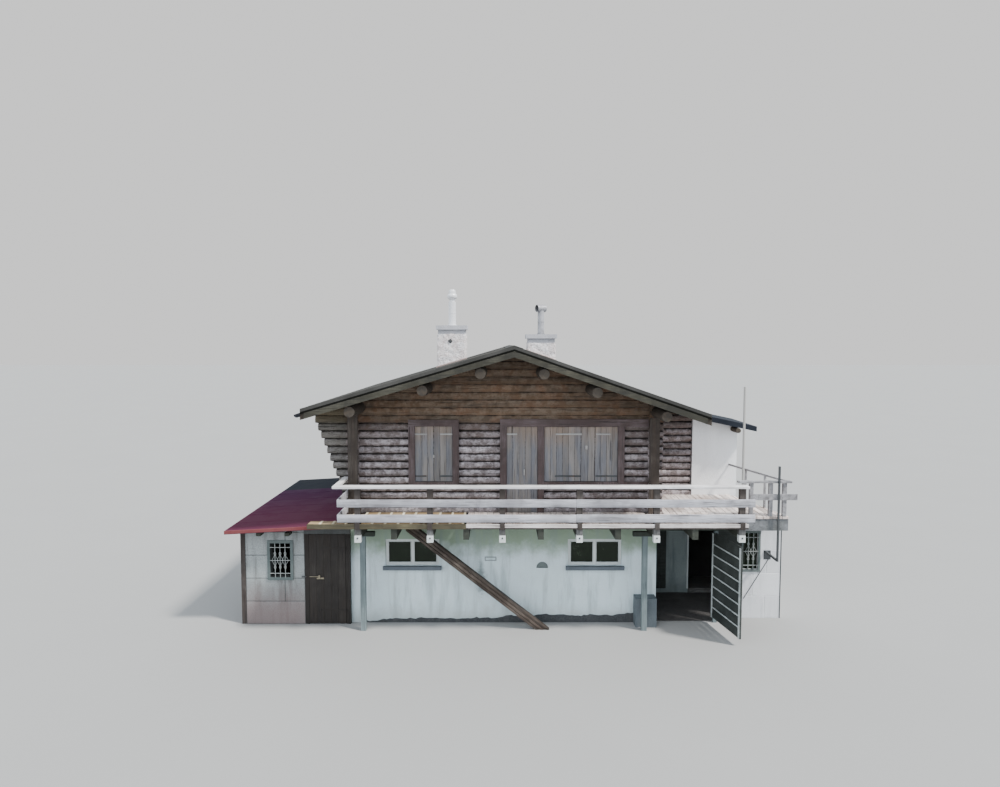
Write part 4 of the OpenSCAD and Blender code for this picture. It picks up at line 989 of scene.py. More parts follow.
class CHALET_OT_log_walls(bpy.types.Operator):
    """Lay the log walls course by course"""

    bl_idname = "chalet.log_walls"
    bl_label = "Log walls"

    def execute(self, context):
        heights = [LOG_Z + COURSE * (i + 0.5) for i in range(21)]
        under = left_z(RIDGE_X, ROOF_T) + 0.12
        for name, y, node in (("front_logs", FRONT + LOG_R, "front_log_wall"),
                              ("rear_logs", REAR - LOG_R, "rear_log_wall")):
            runs = []
            for z in heights:
                start = max(-HALF_W - corbel(z), RIDGE_X - (under - z) / math.tan(PITCH_L))
                end = min(HALF_W + LOG_TAIL, RIDGE_X + (under - z) / math.tan(PITCH_R))
                if end - start >= 0.2:
                    stretches = free_runs(start, end, z) if y < 0 else [(start, end)]
                    runs += [("x", a, b, y, z, LOG_R) for a, b in stretches]
            piece = logs(name, runs)
            under_roof(piece)
            dress(piece, "log_skin log_end", "logs", node)
        runs = []
        for x, height in ((-CORNER_X, left_z), (CORNER_X, right_z)):
            for i in range(int((height(x, ROOF_T) - LOG_Z) / COURSE) + 2):
                runs.append(("y", FRONT - LOG_TAIL, REAR + LOG_TAIL, x, LOG_Z + COURSE * i, LOG_R))
        piece = logs("side_logs", runs, ring=0.1)
        under_roof(piece)
        dress(piece, "log_skin log_end", "logs", "side_log_walls")
        runs = [("x", HALF_W - 0.05, EXT_LOGS + rng.uniform(-0.04, 0.0), EXT_FRONT + LOG_R, z, LOG_R)
                for z in heights if z < RECESS_TOP]
        piece = logs("recess_logs", runs)
        cut_slope(piece, EAVE_R, right_z(EAVE_R, ROOF_T), PITCH_R)
        cut_slope(piece, EAVE_R, ext_z(EAVE_R, EXT_ROOF_T), EXT_PITCH)
        cut(piece, (0, 0, LOG_Z), (0, 0, -1))
        dress(piece, "log_skin log_end", "logs", "recess_log_wall")
        return {"FINISHED"}


PURLIN_R = 0.125
# Purlins of both slopes: side, distances from the ridge, and height of the slope
PURLINS = ((-1, (0.695, 1.885, 3.375), left_z), (1, (0.61, 1.695, 3.12), right_z))
EXT_PURLIN_X = 5.666
EXT_PURLIN_R = 0.07


class CHALET_OT_roof(bpy.types.Operator):
    """Set the purlins, sheet seams, ridge cap, gutter and dark verge strips of painted shade"""

    bl_idname = "chalet.roof"
    bl_label = "Roof"

    def execute(self, context):
        runs = []
        for side, spots, height in PURLINS:
            for x in (RIDGE_X + side * away for away in spots):
                runs.append(("y", VERGE_F + 0.02, VERGE_B, x, height(x, ROOF_T + PURLIN_R), PURLIN_R))
        low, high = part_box("extension_roof")
        runs.append(("y", low.y - 0.018, high.y, EXT_PURLIN_X,
                     ext_z(EXT_PURLIN_X, EXT_ROOF_T + EXT_PURLIN_R), EXT_PURLIN_R))
        piece = logs("round_purlins", runs, rough=0.009, size=0.25, crown=2, flat=1.0, ring=0.2)
        dress(piece, "roof_boarding log_end", "purlin_wood", "purlins")
        seams = []
        count = int((VERGE_B - VERGE_F) / context.scene.chalet_sizes.seam_pitch)
        pitch = (VERGE_B - VERGE_F) / count
        for number in range(count + 1):
            y = min(max(VERGE_F + number * pitch, VERGE_F + 0.012), VERGE_B - 0.012)
            seams += [slope_rib(y, RIDGE_X, EAVE_L, left_z), slope_rib(y, RIDGE_X, EAVE_R, right_z)]
        dress(smooth(join("roof_seams", seams)), "roof_sheet_grey", "roof_sheet")
        dress(ridge_cap(), "roof_sheet_grey", "roof_sheet")
        dress(gutter(), "dark_slate_sheet", "roof_sheet")
        # Near-black strips under the sheet edge on both verges: painted shade of the recess above the
        # bargeboards
        strips = []
        for y0, y1 in ((VERGE_F - 0.024, VERGE_F + 0.002), (VERGE_B - 0.002, VERGE_B + 0.024)):
            strips += [slope_strip(RIDGE_X, x, y0, y1, 0.046, 0.092, height)
                       for x, height in ((EAVE_L + 0.01, left_z), (EAVE_R - 0.01, right_z))]
        dress(join("verge_strips", strips), "verge_black", "roof_sheet")
        return {"FINISHED"}


def slope_rib(y, x0, x1, height):
    """One standing seam from the ridge down to the eave."""
    span = abs(x1 - x0)
    rib = cube(((x0 + x1) / 2, y, 0), (span, 0.02, 0.026))
    pick_long(rib, 0, span / 2)
    bevel(0.006, 2)
    return follow(rib, height, 0.012)


def slope_strip(x0, x1, y0, y1, top, bottom, height):
    """A strip that follows a slope, from top to bottom under the roof's face."""
    strip = cube(((x0 + x1) / 2, (y0 + y1) / 2, -(top + bottom) / 2), (abs(x1 - x0), y1 - y0, bottom - top))
    edit(strip)
    bevel(0.003)
    return follow(strip, height)


def ridge_cap():
    """A folded cap along the ridge."""
    cap = cube((RIDGE_X, (VERGE_F + VERGE_B) / 2, RIDGE_Z + 0.028), (0.36, VERGE_B - VERGE_F + 0.004, 0.012))
    cap.name = "ridge_cap"
    pick_long(cap, 0, 0.2)
    divide(3)
    for vertex in cap.data.vertices:
        away = vertex.co.x - RIDGE_X
        vertex.co.z -= away * math.tan(PITCH_R) if away > 0 else -away * math.tan(PITCH_L)
    edit(cap)
    bevel(0.003)
    return smooth(cap)


def gutter():
    """A half round gutter along the left eave."""
    radius = 0.06
    at = (EAVE_L - radius + 0.01, (VERGE_F + VERGE_B) / 2 - 0.02, left_z(EAVE_L, 0.09))
    piece = rod(20, radius, VERGE_B - VERGE_F + 0.06, ALONG_Y, at, "NOTHING")
    piece.name = "eave_gutter"
    pick(piece, "polygons", lambda f: f.normal.z > 0.05)
    bpy.ops.mesh.delete(type="FACE")
    activate(piece)
    wall = piece.modifiers.new("Sheet", "SOLIDIFY")
    wall.thickness = 0.008
    bpy.ops.object.modifier_apply(modifier=wall.name)
    return smooth(piece)


# The stacks: middle, top of the masonry, and slope that they pass through
STACKS = ((-1.29, 6.578, left_z), (0.955, 6.358, right_z))
STACK_SIDE = 0.67
STACK_FRONT = FRONT + 2.25
CAP_T = 0.105
HATCH = ((-1.365, STACK_FRONT - 0.034, 6.25), (-1.275, STACK_FRONT - 0.01, 6.34))
# Radius and height above the cap, ring by ring, of the left flue's pipe with its cowl, and of the
# right flue's pipe, whose hood lies HOOD_UP above the cap
LEFT_RINGS = ((0.116, -0.004), (0.116, 0.024), (0.092, 0.03), (0.092, 0.31), (0.097, 0.312), (0.097, 0.336),
              (0.092, 0.338), (0.092, 0.6), (0.066, 0.606), (0.066, 0.652), (0.104, 0.682), (0.123, 0.705),
              (0.124, 0.762), (0.112, 0.79), (0.09, 0.805), (0.09, 0.87), (0.078, 0.897), (0.035, 0.912))
RIGHT_RINGS = ((0.1, -0.004), (0.1, 0.022), (0.08, 0.027), (0.08, 0.3), (0.084, 0.302), (0.084, 0.322),
               (0.08, 0.324), (0.08, 0.6))
HOOD_UP = 0.655


class CHALET_OT_chimneys(bpy.types.Operator):
    """Coat the chimney stacks and finish their flues"""

    bl_idname = "chalet.chimneys"
    bl_label = "Chimneys"

    def execute(self, context):
        coats, aprons = [], []
        half = STACK_SIDE / 2
        for middle, top, height in STACKS:
            outer = -1 if middle < 0 else 1
            coats.append(rough_coat(middle, height(middle + outer * half) - 0.06, top - 0.11))
            aprons.append(slope_strip(middle - half - 0.05, middle + half + 0.05, STACK_FRONT - 0.05,
                                      STACK_FRONT - 0.005, -0.055, 0.01, height))
        dress(smooth(join("stack_coats", coats), 60), "stack_roughcast", "stack_masonry")
        dress(join("stack_aprons", aprons), "apron_brown", "roof_sheet")
        left, right = ((middle, STACK_FRONT + half, top + CAP_T) for middle, top, _ in STACKS)
        dress(turned("left_flue", LEFT_RINGS, *left), "flue_white", "flue_metal", "flue_pipes")
        dress(flue_with_hood(*right), "flue_sooty", "flue_metal", "flue_pipes")
        piece = boards("stack_hatch", [HATCH], 0.012, 2)
        spin(piece, 45, "Y", (-1.32, STACK_FRONT, 6.295))
        dress(piece, "dark_steel", "steel")
        return {"FINISHED"}


def rough_coat(middle, foot, top):
    """The uneven coat of one stack, a little outside its solid."""
    side = STACK_SIDE + 0.034
    coat = cube((middle, STACK_FRONT + STACK_SIDE / 2, (foot + top) / 2), (side, side, top - foot))
    pick_long(coat, 2, 0.1)
    bevel(0.02, 2)
    edit(coat)
    divide(22)
    roughen(coat, 0.036, 0.1)
    roughen(coat, 0.014, 0.035)
    return coat


def turned(name, rings, x, y, z):
    """A turned shape on z from (radius, height) pairs, by extruding and scaling a circle upwards."""
    deselect()
    (last_r, first_z), *others = ((radius, z + height) for radius, height in rings)
    bpy.ops.mesh.primitive_circle_add(vertices=24, radius=last_r, location=(x, y, first_z),
                                      fill_type="NGON")
    piece = settle(bpy.context.object)
    piece.name = name
    edit(piece, "FACE")
    last_z = first_z
    for radius, height in others:
        bpy.ops.mesh.extrude_region_move(TRANSFORM_OT_translate={"value": (0, 0, height - last_z)})
        factor = radius / last_r
        bpy.ops.transform.resize(value=(factor, factor, 1), center_override=(x, y, height))
        last_r, last_z = radius, height
    bpy.ops.mesh.select_all(action="SELECT")
    bpy.ops.mesh.normals_make_consistent(inside=False)
    return smooth(piece, 40)


def flue_with_hood(x, y, z):
    """The right flue: a pipe with a level hood that opens to the left."""
    half = 0.12
    axis = (x, y, z + HOOD_UP)
    column = turned("flue_column", RIGHT_RINGS, x, y, z)
    top = rod(24, 0.092, 2 * half, ALONG_X, axis)
    pick(top, "polygons", lambda f: f.normal.x < -0.9)
    push_out(0.008, (0.15, 0, 0))
    pick(top, "polygons", lambda f: f.normal.x > 0.9 and f.center.x > x + half - 0.01)
    push_out(0.014, (0.012, 0, 0))
    spin(top, -28, "Z", axis)
    return smooth(join("right_flue", [column, top]), 40)


def split_boards(x0, x1, width, gap):
    """Even boards between two sides."""
    count = max(1, round((x1 - x0) / width))
    step = (x1 - x0) / count
    return [(x0 + i * step + gap / 2, x0 + (i + 1) * step - gap / 2) for i in range(count)]


# Leaves of the log storey: left, right, bottom, top
LEAVES = ((-1.953, -1.543, 3.188, 4.415), (-1.537, -1.127, 3.188, 4.415), (0.895, 1.7015, 3.188, 4.407),
          (1.7075, 2.01, 3.188, 4.407), (2.016, 2.514, 3.188, 4.407))
DOOR_LEAF = (0.066, 0.746, 2.503, 4.407)
# Hinge straps: height, then left and right of each
PALE_STRAPS = (4.24, (-1.953, -1.68), (-1.4, -1.127), (1.144, 1.72), (2.03, 2.35), (0.07, 0.3))
DARK_STRAPS = (3.31, (1.13, 1.7), (2.03, 2.5), (-1.4, -1.127), (-1.953, -1.7))
STRAP = 0.034


class CHALET_OT_shutters(bpy.types.Operator):
    """Board the shutters and the balcony door, with their hinges and latches"""

    bl_idname = "chalet.shutters"
    bl_label = "Shutters and balcony door"

    def execute(self, context):
        sizes = context.scene.chalet_sizes
        planks = [board for leaf in LEAVES for board in leaf_boards(*leaf, sizes)]
        lay("shutter_boards", planks, "shutter_grey", "grey_boards", "window_shutters", rough=0.003,
            cuts=10, size=0.3, turn=0.15)
        lay("balcony_door_boards", leaf_boards(*DOOR_LEAF, sizes), "shutter_grey", "grey_boards",
            "balcony_door", rough=0.003, cuts=14, size=0.3, turn=0.12)
        y0, y1 = LEAF_Y - 0.012, LEAF_Y - 0.002
        pale, dark = ([((a, y0, z - STRAP / 2), (b, y1, z + STRAP / 2)) for a, b in spans]
                      for z, *spans in (PALE_STRAPS, DARK_STRAPS))
        lay("pale_hinges", pale, "pale_zinc", "steel", edge=0.003)
        dark.append(((0.07, y0, 2.72), (0.4, y1, 2.754)))
        lay("dark_hinges", dark, "dark_steel", "steel", edge=0.003)
        latches = [((1.8, y0 - 0.01, 3.9), (1.85, y1, 3.99)), ((0.44, y0 - 0.02, 3.33), (0.47, y1, 3.46)),
                   ((-1.56, y0 - 0.008, 3.72), (-1.52, y1, 3.78))]
        lay("latches", latches, "pale_zinc", "steel", edge=0.006, segments=2)
        return {"FINISHED"}


def leaf_boards(x0, x1, z0, z1, sizes):
    """Upright boards of one leaf, each a little in or out of line, on two rails behind."""
    found = []
    for a, b in split_boards(x0, x1, sizes.shutter_board, sizes.board_gap):
        shift = rng.uniform(-0.003, 0.003)
        found.append(((a, LEAF_Y + shift, z0 + rng.uniform(0, 0.006)),
                      (b, LEAF_Y + 0.028 + shift, z1 - rng.uniform(0, 0.006))))
    for z in (z0 + 0.14, z1 - 0.2):
        found.append(((x0 + 0.02, LEAF_Y + 0.027, z), (x1 - 0.02, LEAF_Y + 0.04, z + 0.1)))
    return found


POSTS = (-3.025, -1.528, -0.031, 1.566, 3.163, 4.93)
DECK_L = -3.515
DECK_R = 5.05
DECK_F = -4.6
LEDGE_L = -4.065
LEDGE_D = 0.3
SEAM_X = -0.7795
# Railing: undersides of its boards, their height, left and right of each, and the hand rail
RAIL_ZS = (2.545, 2.86)
RAIL_H = 0.165
RAIL_SPANS = ((-3.44, 1.49), (1.494, 5.18))
HAND_RAIL_Z = (3.25, 3.3)
# Formwork: distance of its battens and their width
BATTEN_PITCH = 0.27
BATTEN_W = 0.05
TERRACE_R = 6.17
SKEW = math.radians(14)


def round_posts(half, front, back, low, high):
    """A block round each railing post."""
    return [((x - half, front, low), (x + half, back, high)) for x in POSTS]


class CHALET_OT_balcony(bpy.types.Operator):
    """Lay the deck planks and nail the railing"""

    bl_idname = "chalet.balcony"
    bl_label = "Balcony"

    def execute(self, context):
        sizes = context.scene.chalet_sizes
        planks = [((a, DECK_F, LOG_Z + 0.002), (b, plank_back(a, b), DECK_Z - rng.uniform(0, 0.005)))
                  for a, b in split_boards(SEAM_X, DECK_R, sizes.deck_board, 0.008)]
        lay("deck_planks", planks, "deck_planks", "rail_wood", "balcony_deck", rough=0.003, cuts=4, size=0.5)
        dress(terrace_deck(sizes), "deck_planks", "rail_wood")
        self.formwork(sizes.board_gap)
        low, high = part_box("railing_boards")
        back = high.y
        rails = []
        for z in RAIL_ZS:
            for a, b in RAIL_SPANS:
                rails.append(((a, RAIL_Y, z + rng.uniform(-0.004, 0.004)),
                              (b, RAIL_Y + 0.03, z + RAIL_H + rng.uniform(-0.004, 0.004))))
            rails.append(((-3.44, RAIL_Y + 0.031, z), (-3.41, back, z + RAIL_H)))
        lay("railing_planks", rails, "rail_silver", "rail_wood", "railing_boards", edge=0.005,
            segments=2, rough=0.007, cuts=24, size=0.5)
        under, top = HAND_RAIL_Z
        # The hand rail's lighter finish is painted highlight
        tops = [((a, RAIL_Y - 0.02, under), (b, RAIL_Y + 0.17, top))
                for a, b in ((low.x, 0.9), (0.904, DECK_R))]
        tops.append(((low.x, RAIL_Y + 0.171, under), (low.x + 0.12, back, top)))
        lay("hand_rail", tops, "hand_rail_silver", "rail_wood", "railing_boards", edge=0.005,
            segments=2, rough=0.006, cuts=24, size=0.5)
        lay("post_shoulders", round_posts(0.064, DECK_F - 0.005, DECK_F + 0.12, 2.27, 2.398),
            "shoulder_grey", "corner_wood", edge=0.005, rough=0.004, size=0.1)
        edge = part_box("deck_edge_boards")[0].y
        lay("post_necks", round_posts(0.05, edge - 0.012, edge + 0.002, 2.392, 2.545),
            "post_brown", "corner_wood", rough=0.003, size=0.1)
        lay("post_feet", round_posts(0.067, DECK_F - 0.008, DECK_F + 0.122, 2.117, 2.266),
            "white_paint", "corner_wood", edge=0.006, rough=0.004, size=0.1)
        nuts = [turned_bolt(x, DECK_F - 0.01, 2.21) for x in POSTS]
        dress(smooth(join("post_bolts", nuts)), "dark_steel", "steel")
        return {"FINISHED"}

    def formwork(self, joint):
        """Yellow formwork panels and pale battens over the left part of the deck, and its edge."""
        low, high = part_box("deck_edge_boards")
        panels, battens = [], []
        x = LEDGE_L
        while x < SEAM_X - 0.1:
            end = min(x + BATTEN_PITCH - BATTEN_W, SEAM_X)
            back = DECK_F + LEDGE_D if end < DECK_L else plank_back(x, end)
            panels.append(((x, DECK_F, LOG_Z + 0.002), (end - joint / 2, back, DECK_Z - 0.004)))
            far = end + BATTEN_W
            if end < SEAM_X - BATTEN_W:
                back = DECK_F + LEDGE_D if far < DECK_L else plank_back(end, far)
                battens.append(((end, DECK_F - 0.012, LOG_Z + 0.03), (far - joint, back, DECK_Z)))
            x += BATTEN_PITCH
        fronts = [((a, low.y, low.z), (b, high.y, high.z))
                  for a, b in ((low.x, -2.5), (-2.497, SEAM_X - 0.001))]
        lay("formwork_panels", panels, "edge_yellow", "edge_wood", rough=0.003, cuts=6)
        # The formwork's front edge is a darker copy of its wood: painted shade
        lay("formwork_edge", fronts, "edge_olive", "edge_wood", "deck_edge_boards", rough=0.003, cuts=6)
        lay("formwork_battens", battens, "batten_pale", "edge_wood", rough=0.003, cuts=2)
        planks = [((a, low.y, low.z + 0.028), (b, high.y, high.z))
                  for a, b in ((SEAM_X + 0.001, 2.6), (2.604, high.x))]
        lay("edge_planks", planks, "edge_pale", "edge_wood", "deck_edge_boards", rough=0.003, cuts=8)
        # A thin dark strip along the foot of the edge planks
        strip = [((SEAM_X + 0.001, low.y + 0.004, low.z), (high.x, high.y, low.z + 0.026))]
        lay("edge_batten", strip, "post_brown", "edge_wood", edge=0.003, rough=0.003, cuts=16)


def terrace_deck(sizes):
    """Planks of the terrace from front to back, cut along its skewed side."""
    planks = []
    for a, b in split_boards(HALF_W, TERRACE_R, sizes.deck_board, 0.012):
        front = FRONT - 0.4 if a > DECK_R - 0.01 else FRONT + 0.001
        planks.append(((a, front, LOG_Z + 0.002), (b, EXT_FRONT, DECK_Z - rng.uniform(0, 0.006))))
    piece = boards("terrace_planks", planks, rough=0.003, cuts=4, size=0.5)
    cut(piece, (TERRACE_R, -3.9, 0), (math.cos(SKEW), math.sin(SKEW), 0))
    return piece


def plank_back(a, b):
    """Rear end of a deck plank, which stops before the corner boards where it meets them."""
    meets = any(b > x - 0.115 and a < x + 0.115 for x in (-CORNER_X, CORNER_X))
    return FRONT - 0.17 if meets else FRONT - 0.002


def turned_bolt(x, y, z):
    """A bolt head with its washer, on a front face."""
    bolt = rod(12, 0.019, 0.006, ALONG_Y, (x, y, z))
    pick(bolt, "polygons", lambda f: f.normal.y < -0.9)
    push_out(0.008, (0, -0.009, 0))
    return bolt


# Middles of the ground windows' sashes
SASHES = (-2.315, -1.745, 1.745, 2.315)


class CHALET_OT_ground_storey(bpy.types.Operator):
    """Add the bitumen band, vent and patch of the ground wall"""

    bl_idname = "chalet.ground_storey"
    bl_label = "Ground storey"

    def execute(self, context):
        dress(bitumen_band(), "foot_bitumen", "render")
        y = FRONT - 0.012
        vent = [((-0.42, y, 1.4), (-0.16, FRONT, 1.422)), ((-0.42, y, 1.472), (-0.16, FRONT, 1.494)),
                ((-0.42, y, 1.423), (-0.398, FRONT, 1.471)), ((-0.182, y, 1.423), (-0.16, FRONT, 1.471))]
        lay("wall_vent", vent, "vent_trim", "sill", edge=0.002)
        dress(patch(0.86, 1.25, 0.13), "wall_mark", "render")
        bars = [bar for x in SASHES for bar in sash(x, 0.254, 1.351, 1.829)]
        lay("window_sashes", bars, "white_paint", "white_frame")
        dress(leaning_beams(), "lean_brown", "lean_wood", "leaning_timbers")
        return {"FINISHED"}


def sash(x, half, low, high):
    """The narrow frame of one opening sash."""
    y0, y1, w = FRONT + 0.048, FRONT + 0.062, 0.012
    return [((x - half, y0, low), (x + half, y1, low + w)), ((x - half, y0, high - w), (x + half, y1, high)),
            ((x - half, y0, low + w), (x - half + w, y1, high - w)),
            ((x + half - w, y0, low + w), (x + half, y1, high - w))]


def leaning_beams():
    """Timbers side by side that lean from the ground up between the joists."""
    low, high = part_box("leaning_timbers")
    tilt = math.radians(38)
    thick, gap = 0.056, 0.0125
    long = 2.18 * 2 / math.sin(tilt)
    bars = []
    for number in range(3):
        top = thick + 0.004 - number * (thick + gap)
        bars.append(((-0.195, low.y + 0.004 * number, top - thick), (long, high.y, top)))
    piece = boards("leaning_beams", bars, 0.006, 2, rough=0.008, cuts=30, size=0.3)
    turned_by = Matrix.Rotation(tilt, 4, "Y")
    origin = Vector((low.x, 0, LOG_Z - 0.0653 / math.cos(tilt)))
    for vertex in piece.data.vertices:
        vertex.co = turned_by @ vertex.co + origin
    for point, normal in (((low.x, 0, 0), (-1, 0, 0)), ((0, 0, 0), (0, 0, -1)),
                          ((0, 0, LOG_Z - 0.002), (0, 0, 1))):
        cut(piece, point, normal)
    return piece


def bitumen_band():
    """A band of old bitumen along the foot of the front wall, with a ragged upper edge."""
    x0, x1 = -3.2, 3.36
    band = cube(((x0 + x1) / 2, FRONT - 0.003, 0.05), (x1 - x0, 0.01, 0.1))
    band.name = "bitumen_band"
    pick_long(band, 0, 1)
    divide(110)
    rise = {}
    for vertex in band.data.vertices:
        if vertex.co.z > 0.06:
            key = round(vertex.co.x, 3)
            share = (vertex.co.x - x0) / (x1 - x0)
            if key not in rise:
                wave = math.sin(key * 2.3) * 0.02 + math.sin(key * 7.1) * 0.012
                rise[key] = 0.05 + 0.17 * share + wave + rng.uniform(-0.018, 0.018)
            vertex.co.z = rise[key]
    return smooth(band)


def patch(x, z, radius):
    """A half round patch of cement on the render."""
    disc = rod(24, radius, 0.01, ALONG_Y, (x, FRONT - 0.002, z))
    disc.name = "render_patch"
    cut(disc, (x, 0, z - 0.01), (0, 0, -1))
    pick(disc, "polygons", lambda f: f.normal.y < -0.9)
    bpy.ops.mesh.inset(thickness=0.02)
    leave_edit()
    return disc


def courses(top, height):
    """Number, bottom and top of each course of blocks."""
    z, row = 0.0, 0
    while z < top - 0.02:
        yield row, z, min(z + height, top)
        z, row = min(z + height, top), row + 1


def block_skin(x0, x1, z1, y, hole, height, width, seed):
    """Painted blocks on a front wall, round its window."""
    draw = random.Random(seed)
    blocks = []
    gap = 0.014
    for row, z, top in courses(z1, height):
        edges = [x0]
        at = x0 + width * (0.55 if row % 2 else 1.0)
        while at < x1 - 0.15:
            edges.append(at + draw.uniform(-0.03, 0.03))
            at += width
        edges.append(x1)
        for a, b in zip(edges, edges[1:]):
            blocks += [((left, y - 0.006, low), (right, y + 0.002, high)) for left, right, low, high
                       in around_hole(a + gap / 2, b - gap / 2, z + gap / 2, top - gap / 2, hole)]
    return blocks


def around_hole(a, b, low, high, hole):
    """One block of a wall, cut into pieces where a window lies in it."""
    left, right, bottom, top = hole
    if b <= left or a >= right or high <= bottom or low >= top:
        return [(a, b, low, high)]
    c, d = max(a, left), min(b, right)
    pieces = ((a < left - 0.02, (a, left, low, high)), (b > right + 0.02, (right, b, low, high)),
              (low < bottom - 0.02, (c, d, low, bottom)), (high > top + 0.02, (c, d, top, high)))
    return [piece for wide, piece in pieces if wide]


def bond(start, end, top, height):
    """Start, end, bottom and top of the blocks of a plain wall."""
    for row, z, high in courses(top, height):
        at = start - (BLOCK_LONG / 2 if row % 2 else 0.0)
        while at < end:
            a, b = max(at, start), min(at + BLOCK_LONG, end)
            if b - a > 0.03:
                yield a, b, z, high
            at += BLOCK_LONG


(STORE_L, STORE_F, _), (STORE_R, STORE_B, STORE_TOP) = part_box("annex_roof")
STORE_SLOPE = math.tan(math.radians(3.1))
STORE_WALL_TOP = 2.12
BLOCK_LONG = 0.8
# Windows of the left and right store: left, right, bottom and top
LEFT_HOLE = (-5.163, -4.714, 1.065, 1.832)
RIGHT_HOLE = (5.41, 5.75, 1.13, 1.97)


def store_z(x):
    """Height of the left store's roof at x."""
    return STORE_TOP - (STORE_R - STORE_L) * STORE_SLOPE + (x - STORE_L) * STORE_SLOPE


class CHALET_OT_left_store(bpy.types.Operator):
    """Build the blocks, door planks, roof seams and grille of the left store"""

    bl_idname = "chalet.left_store"
    bl_label = "Left store"

    def execute(self, context):
        height = context.scene.chalet_sizes.block_height
        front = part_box("annex_front_wall")[0].y
        low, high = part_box("annex_left_wall")
        left, rear = low.x, high.y
        face = block_skin(left, -4.405, 2.125, front, LEFT_HOLE, height, 1.6, 3)
        side = [((left - 0.006, a + 0.003, z + 0.003), (left + 0.002, b - 0.003, top - 0.003))
                for a, b, z, top in bond(front, rear, STORE_WALL_TOP, height)]
        back = [((a + 0.005, rear - 0.002, z + 0.005), (b - 0.005, rear + 0.006, top - 0.005))
                for a, b, z, top in bond(left, -HALF_W, STORE_WALL_TOP, height)]
        for name, blocks in (("blocks", face), ("side_blocks", side), ("rear_blocks", back)):
            lay("annex_" + name, blocks, "annex_block_paint", "block_wall", rough=0.003, size=0.2)
        planks = [((a, front - 0.005, 0.022), (b, front + 0.002, 2.028))
                  for a, b in split_boards(-4.303, -3.502, 0.16, 0.004)]
        lay("store_door_planks", planks, "door_dark", "door_wood", body="door_leaf", edge=0.003, turn=0.08)
        bars = [((-4.3, front - 0.022, 1.07), (-4.06, front - 0.006, 1.086)),
                ((-4.14, front - 0.016, 1.02), (-3.98, front - 0.006, 1.055)),
                ((-4.1, front - 0.03, 1.03), (-4.06, front - 0.006, 1.11))]
        lay("store_door_bolt", bars, "old_brass", "steel", body="door_leaf", edge=0.003)
        bars = [((-4.47, front - 0.03, 1.067), (-4.37, front - 0.006, 1.09))]
        lay("store_door_keeper", bars, "dark_steel", "steel", edge=0.003)
        ends = [((x - 0.05, front - 0.24, 2.045), (x + 0.05, front, 2.118)) for x in (-5.34, -4.72)]
        lay("annex_beam_ends", ends, "joist_grey", "joist_wood", edge=0.005, rough=0.004)
        board = [((left - 0.11, front, 0.0), (left - 0.008, front + 0.03, 2.09))]
        lay("annex_corner_board", board, "post_brown", "corner_wood")
        folds = []
        y = STORE_F + 0.7
        while y < STORE_B - 0.2:
            folds.append(((STORE_L, y, 0.0), (STORE_R, y + 0.02, 0.006)))
            y += 0.78
        seams = boards("maroon_seams", folds, cuts=2)
        dress(follow(seams, store_z, -0.002), "maroon_sheet", "maroon_sheet")
        edge = [((STORE_L, STORE_F - 0.006, 0.0), (STORE_R, STORE_F + 0.02, 0.07))]
        piece = boards("maroon_front_edge", edge, 0.003, cuts=6)
        dress(follow(piece, store_z, -0.066), "maroon_edge", "maroon_sheet")
        dress(ornament("annex_window_bars", *LEFT_HOLE, front - 0.034, 3), "ironwork_pale", "white_frame")
        return {"FINISHED"}


def ornament(name, x0, x1, z0, z1, y, count):
    """Forged bars of a window with a lozenge and two loops on each upright."""
    step = (x1 - x0) / (count + 1)
    uprights = [x0 + i * step for i in range(1, count + 1)]
    parts = [((x - 0.006, y, z0), (x + 0.006, y + 0.012, z1)) for x in uprights]
    for z in (z0 + share * (z1 - z0) for share in (0.12, 0.5, 0.88)):
        parts.append(((x0, y, z - 0.006), (x1, y + 0.012, z + 0.006)))
    pieces = [boards(name + "_straight", parts, 0.002)]
    for x in uprights:
        for share, tall, sides in ((0.5, 1.9, 4), (0.3, 1.3, 16), (0.7, 1.3, 16)):
            deselect()
            bpy.ops.mesh.primitive_torus_add(
                major_radius=step * (0.62 if sides == 4 else 0.2), minor_radius=0.005, major_segments=sides,
                minor_segments=6, location=(x, y + 0.006, z0 + share * (z1 - z0)), rotation=ALONG_Y)
            bpy.ops.object.transform_apply(location=False, rotation=True, scale=True)
            bpy.context.object.scale.z = tall
            pieces.append(settle(bpy.context.object))
    return smooth(join(name, pieces))


class CHALET_OT_right_store(bpy.types.Operator):
    """Build the blocks and grille of the right store and the small steel parts"""

    bl_idname = "chalet.right_store"
    bl_label = "Right store"

    def execute(self, context):
        low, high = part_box("store_front_wall")
        blocks = block_skin(low.x, high.x, 2.175, low.y, RIGHT_HOLE, context.scene.chalet_sizes.block_height,
                            0.62, 11)
        lay("store_blocks", blocks, "store_block_paint", "white_blocks", rough=0.003, size=0.2)
        dress(ornament("store_window_bars", *RIGHT_HOLE, low.y - 0.034, 2), "ironwork_pale", "white_frame")
        left, right, bottom, top = RIGHT_HOLE
        dark = [((left + 0.002, low.y + 0.05, bottom + 0.002), (right - 0.002, low.y + 0.058, top - 0.002))]
        lay("store_window_pane", dark, "window_glass", "glass", edge=0.002)
        strip = [((high.x - 0.012, low.y - 0.012, 0.0), (high.x + 0.012, low.y + 0.02, 2.17))]
        lay("store_corner_strip", strip, "dark_steel", "steel", edge=0.003)
        return {"FINISHED"}


# The gate: its axis, left and right end from there, foot, height, stiles, boards and opening
GATE_AXIS = Vector((4.68, -3.545, 0))
GATE_ENDS = (-1.27, -0.005)
GATE_FOOT = 0.15
GATE_TALL = 1.9
GATE_STILE = 0.06
GATE_BOARDS = 8
GATE_FACE = 0.06
GATE_OPEN = 100


